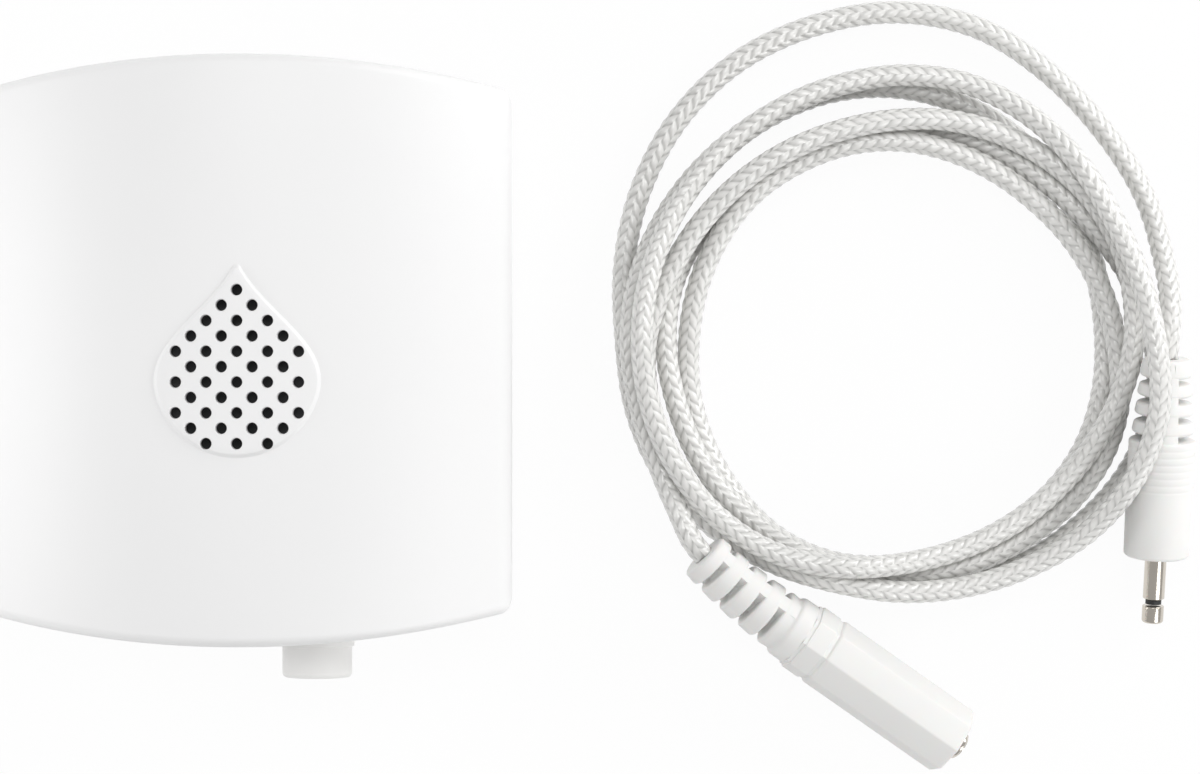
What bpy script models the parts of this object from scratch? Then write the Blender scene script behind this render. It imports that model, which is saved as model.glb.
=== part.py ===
"""Water leak alarm with its plug-in sensing cable.

The alarm unit lies on its flat back with its curved front up, and the braided
cable lies beside it in a loose coil, with its jack plug and its extension socket.
Metres, +Z up. The origin is the middle of the unit's back, on the surface.
"""
import math

import bmesh
import bpy
from mathutils import Matrix, Vector

# Fits
GAP = 0.0003            # clearance between two pieces that meet
BOOLEAN_OVERLAP = 0.001  # how far a cutter runs past what it cuts

# Case of the alarm unit
CASE_WIDTH = 0.0842
CASE_HEIGHT = 0.0924     # over the middle of the arched ends
END_RADIUS = 0.185       # arch of the top and bottom walls
CORNER_RADIUS = 0.0032
CASE_DEPTH = 0.033       # at the middle of the curved front
SIDE_DEPTH = 0.019       # where the curved front meets the side walls
RIM_FILLET = 0.0016
WALL = 0.0022

# Drop-shaped grille on the front, over the siren; heights from the drop's middle
DROP_RADIUS = 0.0133
DROP_APEX = 0.01715
DROP_TIP_RADIUS = 0.0016
DROP_RISE = 0.0005       # the drop stands proud of the front
HOLE_RADIUS = 0.0009
HOLE_PITCH = 0.00478     # along a row
ROW_PITCH = 0.00239
FIRST_ROW = 0.01295
HOLE_ROWS = (1, 2, 3, 4, 5, 4, 5, 4, 5, 4, 3)

# Rear cover, its battery bay and its door
COVER_THICKNESS = 0.0024
BAY_WALL = 0.0014
BAY_EDGE = 0.0013        # from the door to the rim of the cover
DOOR_THICKNESS = 0.0014
DOOR_LEDGE = 0.0022
FINGER_NOTCH_RADIUS = 0.005
FINGER_NOTCH_DEPTH = 0.0006

# Battery cells and their contacts
CELL_LENGTH = 0.0492
CELL_RADIUS = 0.00715
CELL_PITCH = 0.0153
CELL_NUB_RADIUS = 0.0027
CELL_NUB_LENGTH = 0.0013
CONTACT_THICKNESS = 0.0004
CONTACT_SIDE = 0.009
SPRING_LENGTH = 0.0042
SPRING_RADIUS = 0.0033
SPRING_WIRE_RADIUS = 0.00035
SPRING_TURNS = 3

# Screws
CASE_SCREW_SIDE = 0.0066  # from the side wall's outside
CASE_SCREW_LOW = 0.0137   # from the middle of the lower wall
CASE_POST_RADIUS = 0.0035
CASE_SCREW_LENGTH = 0.012
SCREW_RADIUS = 0.0012
SCREW_HEAD_RADIUS = 0.0024
SCREW_HEAD_HEIGHT = 0.0014
SCREW_SLOT_WIDTH = 0.0007
SCREW_SLOT_DEPTH = 0.0006

# Circuit board and what stands on it
BOARD_THICKNESS = 0.0016
BOARD_BOTTOM = 0.0098
BOARD_SIDE = 0.0106       # from the side wall's outside
BOARD_LOW = 0.0057        # from the middle of the lower wall
BOARD_BAY_GAP = 0.001
BOARD_POST_RADIUS = 0.0027
BOARD_SCREW_SIDE = 0.004
BOARD_SCREW_INSET = 0.0045
BOARD_SCREW_LENGTH = 0.006
SIREN_RADIUS = 0.0092
SIREN_BAY_GAP = 0.00035
SIREN_RIM = 0.0012
SIREN_RIM_HEIGHT = 0.0018
MESH_RADIUS = 0.0146
MESH_THICKNESS = 0.0008
RADIO_SIZE = (0.016, 0.012, 0.0026)
RADIO_SIDE = 0.0155       # from the board's edge to the middle of the radio
CHIP_SIZE = (0.006, 0.006, 0.0011)
CAPACITOR_RADIUS = 0.0035
CAPACITOR_HEIGHT = 0.0085
CAPACITOR_INSET = (0.008, 0.0135)  # from the board's side and upper edges

# Cable port on the lower wall
PORT_X = 0.01135
COLLAR_RADIUS = 0.0059
COLLAR_LENGTH = 0.0059
COLLAR_NECK_RADIUS = 0.004
COLLAR_FILLET = 0.0007
PORT_BORE_RADIUS = 0.00185
JACK_SIZE = (0.0105, 0.0125, 0.0064)

# Jack plug on the near end of the cable
PLUG_END = (0.14725, -0.0011, 0.0114)  # where the cord goes in
PLUG_HEADING = -91.9                   # plan direction of the pin
PLUG_DIP = 10.0                        # how far the pin points down
PLUG_RADIUS = 0.0054
PLUG_TAPER = 0.00015                   # narrower at the pin end by this
PLUG_LENGTH = 0.0192
PLUG_FILLET = 0.0006
GRIP_GROOVES = 5
GRIP_PITCH = 0.00125
GRIP_START = 0.0016
GRIP_DEPTH = 0.00014
PLUG_RELIEF_RADII = (0.0039, 0.0051)   # at the cord and at the body
PLUG_RIBS = (0.0029, 0.00307, 0.0)     # first rib, pitch and last rib
PLUG_WEB_LEAN = 77.0                   # degrees up from the left
PIN_RADIUS = 0.00175
PIN_SLEEVE_LENGTH = 0.0067
PIN_RING_RADIUS = 0.0013
PIN_RING_LENGTH = 0.0006
PIN_TIP_LENGTH = 0.0028

# Extension socket on the far end of the cable
SOCKET_JOINT = (0.08581, -0.0435, 0.01106)  # middle of where its strain relief ends
SOCKET_HEADING = -35.2
SOCKET_DIP = 8.5                        # its cord end lies on the coil
SOCKET_ROLL = -15.5                     # the eight sides are turned by this
SOCKET_FLATS = 0.0111                   # across the flats
SOCKET_LENGTH = 0.0265
SOCKET_FILLET = 0.0007
SOCKET_BAND = (0.00385, 0.0053)         # round band: length and radius
SOCKET_COLLAR = (0.0034, 0.01095)       # eight-sided collar: length and width
SOCKET_NECK = (0.0005, 0.0104)          # groove on each side of the collar
SOCKET_RELIEF_RADII = (0.0041, 0.0049)
SOCKET_RIBS = (0.0024, 0.0039, 0.0019)
SOCKET_WEB_LEAN = 53.5
SOCKET_BEND = 10.0                      # how far the strain relief bends to the side
SOCKET_BUSH_RADIUS = 0.0024
SOCKET_BUSH_PROUD = 0.0010
SOCKET_BUSH_LENGTH = 0.006
SOCKET_CONTACT_WALL = 0.0005
BORE_SHARE = 0.75                       # of the body's length

# Strain relief of both mouldings
RIB_GAPS = 4
RIB_GAP_WIDTH = 0.00105
RIB_CORE = 0.00205
RIB_EASE = 0.00055
WEB_SPREAD = 31.0                       # degrees that each web takes of the round
WEB_INSET = 0.00005

# Braided sensing cable
CORD_RADIUS = 0.00185
COIL_CENTRE = (0.1044, 0.0019)
# Outline of the coil every 30 degrees from +X: outside, inside and top
COIL_OUTLINE = (
    (0.0458, 0.0322, 0.0184), (0.0487, 0.0305, 0.0146), (0.0524, 0.0296, 0.0103),
    (0.0551, 0.0304, 0.0097), (0.0541, 0.0309, 0.0104), (0.0503, 0.0314, 0.0108),
    (0.0460, 0.0317, 0.0166), (0.0456, 0.0334, 0.0156), (0.0432, 0.0354, 0.0158),
    (0.0426, 0.0339, 0.0136), (0.0443, 0.0331, 0.0102), (0.0454, 0.0334, 0.0168),
)
# Where the coil is cut away: from and to in degrees, and the radius that stays
PLUG_CUT = (303.0, 366.0, 0.0382)
SOCKET_CUT = (211.0, 264.0, 0.0410)
# Routes of the cord's free stretches: degrees round the coil, radius, height
OVER_PLUG = ((303, 0.0424, 0.0081), (312, 0.0432, 0.0093), (321, 0.0435, 0.0116),
             (330, 0.0435, 0.0142), (339, 0.0430, 0.0161), (348, 0.0421, 0.0169),
             (357, 0.0409, 0.0169), (366, 0.0406, 0.0160))
UNDER_PLUG = ((303, 0.0420, 0.0019), (313, 0.0424, 0.0019), (323, 0.0430, 0.0019),
              (333, 0.0435, 0.0019), (343, 0.0436, 0.0020), (353, 0.0428, 0.0022),
              (360, 0.0418, 0.0025), (366, 0.0409, 0.0029))
INTO_PLUG = ((366, 0.0438, 0.0109), (363, 0.0436, 0.0113))
INTO_SOCKET = ((211, 0.0440, 0.0109), (215, 0.0443, 0.0116), (219, 0.0451, 0.0127))
LEAD_IN = 0.0025         # straight stretch before the plug and the socket

# Facets
ARC_STEPS = 14
CORNER_STEPS = 4
FILLET_STEPS = 3
ROUND_STEPS = 32
SMALL_ROUND_STEPS = 16
HOLE_STEPS = 12
COIL_STEPS = 60
CORD_SIDES = 2


# Blender helpers

def clear_scene():
    for obj in list(bpy.data.objects):
        bpy.data.objects.remove(obj)


def make_material(name, colour, roughness, metallic=0.0):
    material = bpy.data.materials.new(name)
    material.use_nodes = True
    shader = material.node_tree.nodes["Principled BSDF"]
    shader.inputs["Base Color"].default_value = (*colour, 1.0)
    shader.inputs["Roughness"].default_value = roughness
    shader.inputs["Metallic"].default_value = metallic
    return material


def make_object(name, bm, material=None, smooth=True):
    bmesh.ops.remove_doubles(bm, verts=bm.verts, dist=1e-7)
    bmesh.ops.recalc_face_normals(bm, faces=bm.faces)
    mesh = bpy.data.meshes.new(name)
    bm.to_mesh(mesh)
    bm.free()
    if smooth:
        mesh.shade_smooth()
        mesh.set_sharp_from_angle(angle=math.radians(35))
    obj = bpy.data.objects.new(name, mesh)
    bpy.context.collection.objects.link(obj)
    if material:
        mesh.materials.append(material)
        obj.parent = ROOT
    return obj


def make_cutter(name, bm):
    cutter = make_object(name, bm, smooth=False)
    cutter.hide_render = True
    cutter.display_type = "WIRE"
    return cutter


def combine(obj, other, operation="DIFFERENCE"):
    modifier = obj.modifiers.new(other.name, "BOOLEAN")
    modifier.operation = operation
    modifier.object = other
    modifier.solver = "EXACT"


def bevel_edges(obj, width, segments=2, angle=35):
    modifier = obj.modifiers.new("edge", "BEVEL")
    modifier.width = width
    modifier.segments = segments
    modifier.limit_method = "ANGLE"
    modifier.angle_limit = math.radians(angle)


def prism(points, bottom, top):
    """An upright solid over a plan outline."""
    bm = bmesh.new()
    ring = [bm.verts.new((x, y, bottom)) for x, y in points]
    base = bm.faces.new(ring)
    lifted = bmesh.ops.extrude_face_region(bm, geom=[base])["geom"]
    moved = [v for v in lifted if isinstance(v, bmesh.types.BMVert)]
    bmesh.ops.translate(bm, verts=moved, vec=(0, 0, top - bottom))
    return bm


def box(low, high):
    outline = [(low[0], low[1]), (high[0], low[1]), (high[0], high[1]), (low[0], high[1])]
    return prism(outline, low[2], high[2])


def turned(profile, steps=ROUND_STEPS):
    """A solid turned about Z from (radius, height) points, axis to axis."""
    bm = bmesh.new()
    verts = [bm.verts.new((radius, 0, height)) for radius, height in profile]
    edges = [bm.edges.new(pair) for pair in zip(verts, verts[1:])]
    if profile[0][0] > 0:
        edges.append(bm.edges.new((verts[-1], verts[0])))
    bmesh.ops.spin(bm, geom=verts + edges, axis=(0, 0, 1), cent=(0, 0, 0),
                   angle=math.tau, steps=steps, use_merge=True)
    return bm


def rod(radius, bottom, top, steps=ROUND_STEPS):
    return turned([(0, bottom), (radius, bottom), (radius, top), (0, top)], steps)


def moved(bm, place):
    bmesh.ops.translate(bm, verts=bm.verts, vec=place)
    return bm


def at_each(shape, places, bm=None):
    """A copy of a shape at each plan place, added to another set of faces if given."""
    single = bpy.data.meshes.new("single")
    shape.to_mesh(single)
    shape.free()
    bm = bm or bmesh.new()
    for x, y in places:
        start = len(bm.verts)
        bm.from_mesh(single)
        bm.verts.ensure_lookup_table()
        bmesh.ops.translate(bm, verts=bm.verts[start:], vec=(x, y, 0))
    bpy.data.meshes.remove(single)
    return bm


def arc(centre, radius, start, end, steps):
    """Points on an arc, in degrees, with both ends."""
    points = []
    for i in range(steps + 1):
        angle = math.radians(start + (end - start) * i / steps)
        points.append((centre[0] + radius * math.cos(angle),
                       centre[1] + radius * math.sin(angle)))
    return points


def along(start, heading, dip=0.0):
    """Placement whose local +Z runs from start in the given plan direction."""
    turn = Matrix.Rotation(math.radians(heading), 4, "Z")
    tip = Matrix.Rotation(math.radians(90 + dip), 4, "Y")
    return Matrix.Translation(start) @ turn @ tip


# Shape of the case

def front_height(x):
    """Height of the curved front over the back, at a distance from the middle."""
    half = CASE_WIDTH / 2
    sag = CASE_DEPTH - SIDE_DEPTH
    radius = (half ** 2 + sag ** 2) / (2 * sag)
    return CASE_DEPTH - radius + math.sqrt(radius ** 2 - x ** 2)


def end_wall_y(x, inset=0.0):
    """How far the arched top wall stands from the middle at x."""
    radius = END_RADIUS - inset
    return CASE_HEIGHT / 2 - END_RADIUS + math.sqrt(radius ** 2 - x ** 2)


def upper_outline(inset):
    """Upper half of the case outline, from the right side to the left side."""
    side = CASE_WIDTH / 2 - inset
    corner = max(CORNER_RADIUS - inset, GAP)
    centre_y = CASE_HEIGHT / 2 - END_RADIUS
    reach = END_RADIUS - inset - corner
    corner_x = side - corner
    corner_y = centre_y + math.sqrt(reach ** 2 - corner_x ** 2)
    turn = math.degrees(math.atan2(corner_y - centre_y, corner_x))
    right = arc((corner_x, corner_y), corner, 0, turn, CORNER_STEPS)
    top = arc((0, centre_y), END_RADIUS - inset, turn, 180 - turn, ARC_STEPS)
    left = [(-x, y) for x, y in reversed(right)]
    return right + top[1:-1] + left


def whole_outline(inset):
    upper = upper_outline(inset)
    return upper + [(x, -y) for x, y in reversed(upper)]


def case_solid(inset, bottom, fillet, drop):
    """The case's outline grown up to the curved front, lowered by drop."""
    bm = bmesh.new()
    levels = [(inset, None)]
    for i in range(FILLET_STEPS + 1):
        angle = math.pi / 2 * i / FILLET_STEPS
        shrink = fillet * (1 - math.cos(angle))
        levels.append((inset + shrink, fillet * (1 - math.sin(angle))))
    rings = []
    for level_inset, below in levels:
        ring = []
        for x, y in whole_outline(level_inset):
            z = bottom if below is None else front_height(x) - drop - below
            ring.append(bm.verts.new((x, y, z)))
        rings.append(ring)
    count = len(rings[0])
    for low, high in zip(rings, rings[1:]):
        for i in range(count):
            j = (i + 1) % count
            bm.faces.new((low[i], low[j], high[j], high[i]))
    bm.faces.new(list(reversed(rings[0])))
    front = rings[-1]
    for i in range(count // 2 - 1):
        bm.faces.new((front[i], front[i + 1], front[count - 2 - i], front[count - 1 - i]))
    return bm


def drop_outline():
    """Teardrop: a circle, two straight sides and a small round tip."""
    rise = DROP_APEX - DROP_TIP_RADIUS
    slope = math.degrees(math.asin((DROP_RADIUS - DROP_TIP_RADIUS) / rise))
    tip = arc((0, siren_y() + rise), DROP_TIP_RADIUS, slope, 180 - slope, 6)
    body = arc((0, siren_y()), DROP_RADIUS, 180 - slope, 360 + slope, 36)
    return tip + body


def front_slab(low, high):
    """A curved sheet that follows the front, between two offsets from it."""
    half = DROP_RADIUS + BOOLEAN_OVERLAP
    steps = 16
    xs = [half - 2 * half * i / steps for i in range(steps + 1)]
    section = [(x, front_height(x) + high) for x in xs]
    section += [(x, front_height(x) + low) for x in reversed(xs)]
    bm = bmesh.new()
    reach = max(DROP_APEX, DROP_RADIUS) + BOOLEAN_OVERLAP
    ring = [bm.verts.new((x, siren_y() - reach, z)) for x, z in section]
    base = bm.faces.new(ring)
    pushed = bmesh.ops.extrude_face_region(bm, geom=[base])["geom"]
    verts = [v for v in pushed if isinstance(v, bmesh.types.BMVert)]
    bmesh.ops.translate(bm, verts=verts, vec=(0, 2 * reach, 0))
    return bm


def grille_hole_places():
    for row, count in enumerate(HOLE_ROWS):
        y = siren_y() + FIRST_ROW - ROW_PITCH * row
        for i in range(count):
            yield HOLE_PITCH * (i - (count - 1) / 2), y


def grille_holes():
    low = front_height(DROP_RADIUS) - 2 * WALL
    high = CASE_DEPTH + DROP_RISE + BOOLEAN_OVERLAP
    outline = arc((0, 0), HOLE_RADIUS, 0, 360, HOLE_STEPS)[:-1]
    return at_each(prism(outline, low, high), grille_hole_places())


def bay_half_size():
    """Half of the battery bay's inside, along the cells and across them."""
    length = (CELL_LENGTH + CELL_NUB_LENGTH + SPRING_LENGTH + 5 * GAP) / 2
    length += CONTACT_THICKNESS
    across = CELL_PITCH / 2 + CELL_RADIUS + GAP
    return length, across


def bay_centre_y():
    """The bay lies as near the arched upper wall as its door allows."""
    length, across = bay_half_size()
    rim = end_wall_y(length + DOOR_LEDGE, WALL + GAP)
    return rim - BAY_EDGE - across - DOOR_LEDGE


def bay_low_y():
    return bay_centre_y() - bay_half_size()[1] - BAY_WALL


def siren_y():
    """The siren stands just below the battery bay, and the drop lies over it."""
    return bay_low_y() - SIREN_BAY_GAP - SIREN_RADIUS


def case_screw_places():
    """Two below the battery bay and two near the lower wall."""
    upper = bay_low_y() - CASE_POST_RADIUS - 2 * GAP
    lower = CASE_SCREW_LOW - CASE_HEIGHT / 2
    for x in (CASE_SCREW_SIDE - CASE_WIDTH / 2, CASE_WIDTH / 2 - CASE_SCREW_SIDE):
        for y in (lower, upper):
            yield x, y


def board_edges():
    """The board's right, lower and upper edges."""
    return (CASE_WIDTH / 2 - BOARD_SIDE, BOARD_LOW - CASE_HEIGHT / 2,
            bay_low_y() - BOARD_BAY_GAP)


def board_screw_places():
    half, lower, upper = board_edges()
    for x in (BOARD_SCREW_SIDE - half, half - BOARD_SCREW_SIDE):
        for y in (upper - BOARD_SCREW_INSET, lower + BOARD_SCREW_INSET):
            yield x, y


def board_top():
    return BOARD_BOTTOM + BOARD_THICKNESS


def port_z():
    return board_top() + GAP + JACK_SIZE[2] / 2


def port_rod(radius, near_y, far_y, steps=ROUND_STEPS):
    """A rod along the cable port's axis, which runs out through the lower wall."""
    bm = rod(radius, 0, near_y - far_y, steps)
    turn = Matrix.Rotation(math.radians(90), 4, "X")
    bmesh.ops.transform(bm, matrix=turn, verts=bm.verts)
    return moved(bm, (PORT_X, near_y, port_z()))


# Pieces of the alarm unit

def build_front_shell(material):
    shell = make_object("front_shell", case_solid(0, 0, RIM_FILLET, 0), material)
    hollow = make_cutter("cut_case_hollow",
                         case_solid(WALL, -BOOLEAN_OVERLAP, GAP, WALL))
    combine(shell, hollow)
    pad = make_cutter("drop_pad", front_slab(-WALL / 2, DROP_RISE))
    combine(pad, make_cutter("drop_outline", prism(drop_outline(), 0, 2 * CASE_DEPTH)),
            "INTERSECT")
    combine(shell, pad, "UNION")
    post_bottom = COVER_THICKNESS + GAP
    post = rod(CASE_POST_RADIUS, post_bottom, CASE_DEPTH, SMALL_ROUND_STEPS)
    posts = make_cutter("case_posts", at_each(post, case_screw_places()))
    inside = case_solid(WALL / 2, 0, GAP, WALL / 2)
    combine(posts, make_cutter("case_post_limit", inside), "INTERSECT")
    combine(shell, posts, "UNION")
    wall_y = end_wall_y(PORT_X)
    combine(shell, make_cutter("cut_port", port_rod(
        COLLAR_NECK_RADIUS + GAP, -wall_y + 2 * WALL, -wall_y - 2 * WALL)))
    pilot = rod(SCREW_RADIUS + GAP, post_bottom - BOOLEAN_OVERLAP,
                CASE_SCREW_LENGTH + GAP, SMALL_ROUND_STEPS)
    holes = at_each(pilot, case_screw_places(), grille_holes())
    combine(shell, make_cutter("cut_grille_and_pilot_holes", holes))
    return shell


def cell_z():
    return DOOR_THICKNESS + 2 * GAP + CELL_RADIUS


def bay_ceiling():
    return cell_z() + CELL_RADIUS + GAP


def centred_box(half_x, half_y, centre_y, low, high):
    return box((-half_x, centre_y - half_y, low), (half_x, centre_y + half_y, high))


def build_rear_cover(material):
    plate = prism(whole_outline(WALL + GAP), 0, COVER_THICKNESS)
    cover = make_object("rear_cover", plate, material)
    length, across = bay_half_size()
    walls = make_cutter("bay_walls", centred_box(
        length + BAY_WALL, across + BAY_WALL, bay_centre_y(),
        COVER_THICKNESS / 2, bay_ceiling() + BAY_WALL))
    combine(cover, walls, "UNION")
    post = rod(BOARD_POST_RADIUS, COVER_THICKNESS / 2, BOARD_BOTTOM - GAP,
               SMALL_ROUND_STEPS)
    combine(cover, make_cutter("board_posts", at_each(post, board_screw_places())), "UNION")
    combine(cover, make_cutter("bay_hollow", centred_box(
        length, across, bay_centre_y(), -BOOLEAN_OVERLAP, bay_ceiling())))
    combine(cover, make_cutter("door_recess", centred_box(
        length + DOOR_LEDGE, across + DOOR_LEDGE, bay_centre_y(),
        -BOOLEAN_OVERLAP, DOOR_THICKNESS + GAP)))
    through = turned([
        (0, -BOOLEAN_OVERLAP), (SCREW_HEAD_RADIUS + GAP, -BOOLEAN_OVERLAP),
        (SCREW_HEAD_RADIUS + GAP, SCREW_HEAD_HEIGHT + GAP),
        (SCREW_RADIUS + GAP, SCREW_HEAD_HEIGHT + GAP),
        (SCREW_RADIUS + GAP, COVER_THICKNESS + BOOLEAN_OVERLAP),
        (0, COVER_THICKNESS + BOOLEAN_OVERLAP)], SMALL_ROUND_STEPS)
    pilot = rod(SCREW_RADIUS + GAP, board_top() - BOARD_SCREW_LENGTH - GAP,
                BOARD_BOTTOM + BOOLEAN_OVERLAP, SMALL_ROUND_STEPS)
    holes = at_each(pilot, board_screw_places(), at_each(through, case_screw_places()))
    combine(cover, make_cutter("screw_holes", holes))
    return cover


def build_battery_door(material):
    length, across = bay_half_size()
    half_x = length + DOOR_LEDGE - GAP
    half_y = across + DOOR_LEDGE - GAP
    door = make_object("battery_door", centred_box(
        half_x, half_y, bay_centre_y(), 0, DOOR_THICKNESS), material)
    notch = rod(FINGER_NOTCH_RADIUS, -BOOLEAN_OVERLAP, FINGER_NOTCH_DEPTH)
    edge_y = bay_centre_y() - half_y + FINGER_NOTCH_RADIUS / 2
    combine(door, make_cutter("finger_notch", moved(notch, (0, edge_y, 0))))
    return door


def cell_direction(index):
    """The two cells lie side by side and point opposite ways."""
    return 1 if index == 0 else -1


def cell_y(index):
    return bay_centre_y() + CELL_PITCH * (index - 0.5)


def build_cell(index, material):
    ease = 0.0006
    profile = [
        (0, 0), (CELL_RADIUS - ease, 0), (CELL_RADIUS, ease),
        (CELL_RADIUS, CELL_LENGTH - ease), (CELL_RADIUS - ease, CELL_LENGTH),
        (CELL_NUB_RADIUS, CELL_LENGTH), (CELL_NUB_RADIUS, CELL_LENGTH + CELL_NUB_LENGTH),
        (0, CELL_LENGTH + CELL_NUB_LENGTH)]
    cell = make_object(f"battery_cell_{index + 1}", turned(profile), material)
    way = cell_direction(index)
    length, _ = bay_half_size()
    start = way * (-length + CONTACT_THICKNESS + SPRING_LENGTH + 3 * GAP)
    cell.matrix_world = along((start, cell_y(index), cell_z()), 0 if way > 0 else 180)
    return cell


def build_contact_plate(index, end, material):
    """A flat contact on the bay's end wall: the plus end, or the spring's foot."""
    length, _ = bay_half_size()
    way = cell_direction(index) * end
    outer = length - GAP
    xs = sorted((way * outer, way * (outer - CONTACT_THICKNESS)))
    half = CONTACT_SIDE / 2
    y, z = cell_y(index), cell_z()
    side = "plus" if end > 0 else "minus"
    return make_object(f"contact_{side}_{index + 1}", box(
        (xs[0], y - half, z - half), (xs[1], y + half, z + half)), material)


def build_contact_spring(index, material):
    """A cone-shaped coil spring between the foot plate and the cell's flat end."""
    length, _ = bay_half_size()
    way = cell_direction(index)
    start = length - CONTACT_THICKNESS - 2 * GAP - SPRING_WIRE_RADIUS
    travel = SPRING_LENGTH - 2 * SPRING_WIRE_RADIUS
    steps = SPRING_TURNS * 12
    points = []
    for i in range(steps + 1):
        share = i / steps
        angle = math.tau * SPRING_TURNS * share
        radius = SPRING_RADIUS * (1 - 0.35 * share)
        points.append((way * (-start + travel * share),
                       cell_y(index) + radius * math.cos(angle),
                       cell_z() + radius * math.sin(angle)))
    return make_tube(f"contact_spring_{index + 1}", points, SPRING_WIRE_RADIUS, 1, material)


def make_tube(name, points, radius, sides, material):
    curve = bpy.data.curves.new(name, "CURVE")
    curve.dimensions = "3D"
    curve.bevel_depth = radius
    curve.bevel_resolution = sides
    curve.use_fill_caps = True
    spline = curve.splines.new("POLY")
    spline.points.add(len(points) - 1)
    for point, place in zip(spline.points, points):
        point.co = (*place, 1)
    spline.use_smooth = True
    curve.materials.append(material)
    tube = bpy.data.objects.new(name, curve)
    tube.parent = ROOT
    bpy.context.collection.objects.link(tube)
    return tube


def build_screw(name, place, up, length, material):
    """A pan-head screw; its head's top is at place and its shank runs the other way."""
    profile = [(0, -length), (SCREW_RADIUS * 0.6, -length),
               (SCREW_RADIUS, -length + SCREW_RADIUS), (SCREW_RADIUS, -SCREW_HEAD_HEIGHT),
               (SCREW_HEAD_RADIUS, -SCREW_HEAD_HEIGHT), (SCREW_HEAD_RADIUS, -0.0003),
               (SCREW_HEAD_RADIUS - 0.0003, 0), (0, 0)]
    screw = make_object(name, turned(profile, SMALL_ROUND_STEPS), material)
    reach = SCREW_HEAD_RADIUS * 0.7
    for i, (half_x, half_y) in enumerate(((reach, SCREW_SLOT_WIDTH / 2),
                                          (SCREW_SLOT_WIDTH / 2, reach))):
        slot = make_cutter(f"{name}_slot_{i}", box((-half_x, -half_y, -SCREW_SLOT_DEPTH),
                                                   (half_x, half_y, BOOLEAN_OVERLAP)))
        combine(screw, slot)
        slot.parent = screw
    screw.location = place
    if not up:
        screw.rotation_euler = (math.pi, 0, 0)
    return screw


def build_circuit_board(material):
    half, lower, upper = board_edges()
    board = make_object("circuit_board", box(
        (-half, lower, BOARD_BOTTOM), (half, upper, board_top())), material)
    hole = rod(SCREW_RADIUS + GAP, BOARD_BOTTOM - BOOLEAN_OVERLAP,
               board_top() + BOOLEAN_OVERLAP, SMALL_ROUND_STEPS)
    combine(board, make_cutter("board_holes", at_each(hole, board_screw_places())))
    return board


def mesh_top():
    return front_height(MESH_RADIUS) - WALL - GAP


def build_siren(material):
    """Round sounder on the board, open at the top inside its rim."""
    low = board_top() + GAP
    high = mesh_top() - MESH_THICKNESS - GAP
    profile = [(0, low), (SIREN_RADIUS, low), (SIREN_RADIUS, high),
               (SIREN_RADIUS - SIREN_RIM, high),
               (SIREN_RADIUS - SIREN_RIM, high - SIREN_RIM_HEIGHT),
               (0, high - SIREN_RIM_HEIGHT)]
    return make_object("siren", moved(turned(profile), (0, siren_y(), 0)), material)


def build_siren_mesh(material):
    """Dark dust mesh between the grille and the siren."""
    disc = rod(MESH_RADIUS, mesh_top() - MESH_THICKNESS, mesh_top())
    return make_object("siren_mesh", moved(disc, (0, siren_y(), 0)), material)


def radio_x():
    return RADIO_SIDE - board_edges()[0]


def chip_x():
    """Halfway between the radio and the jack."""
    return (radio_x() + RADIO_SIZE[0] / 2 + PORT_X - JACK_SIZE[0] / 2) / 2


def build_on_board(name, size, x, material):
    """A flat package halfway between the siren and the board's lower edge."""
    low = board_top() + GAP
    y = (siren_y() - SIREN_RADIUS + board_edges()[1]) / 2
    return make_object(name, box((x - size[0] / 2, y - size[1] / 2, low),
                                 (x + size[0] / 2, y + size[1] / 2, low + size[2])), material)


def build_capacitor(material):
    low = board_top() + GAP
    ease = 0.0005
    high = low + CAPACITOR_HEIGHT
    can = turned([(0, low), (CAPACITOR_RADIUS, low), (CAPACITOR_RADIUS, high - ease),
                  (CAPACITOR_RADIUS - ease, high), (0, high)], SMALL_ROUND_STEPS)
    half, _, upper = board_edges()
    place = (half - CAPACITOR_INSET[0], upper - CAPACITOR_INSET[1], 0)
    return make_object("capacitor", moved(can, place), material)


def collar_seat_y():
    """Where the collar's head meets the arched lower wall."""
    return -end_wall_y(max(abs(PORT_X) - COLLAR_RADIUS, 0)) - GAP


def jack_face_y():
    """The jack's front face, clear of the arched wall at its outer corner."""
    return GAP - end_wall_y(PORT_X + JACK_SIZE[0] / 2, WALL)


def build_port_collar(material):
    """Round collar on the lower wall, with a neck through it and a bore for the pin."""
    seat = 0.0
    neck = collar_seat_y() - jack_face_y() + GAP
    mouth = PORT_BORE_RADIUS + 0.0006
    profile = [(PORT_BORE_RADIUS, neck), (COLLAR_NECK_RADIUS, neck),
               (COLLAR_NECK_RADIUS, seat), (COLLAR_RADIUS, seat),
               (COLLAR_RADIUS, COLLAR_LENGTH - COLLAR_FILLET)]
    profile += [(COLLAR_RADIUS - COLLAR_FILLET + COLLAR_FILLET * math.cos(a),
                 COLLAR_LENGTH - COLLAR_FILLET + COLLAR_FILLET * math.sin(a))
                for a in (math.pi / 6, math.pi / 3, math.pi / 2)]
    profile += [(mouth, COLLAR_LENGTH), (PORT_BORE_RADIUS, COLLAR_LENGTH - 0.0006)]
    collar = make_object("port_collar", turned(profile), material)
    collar.rotation_euler = (math.pi / 2, 0, 0)
    collar.location = (PORT_X, collar_seat_y(), port_z())
    return collar


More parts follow.
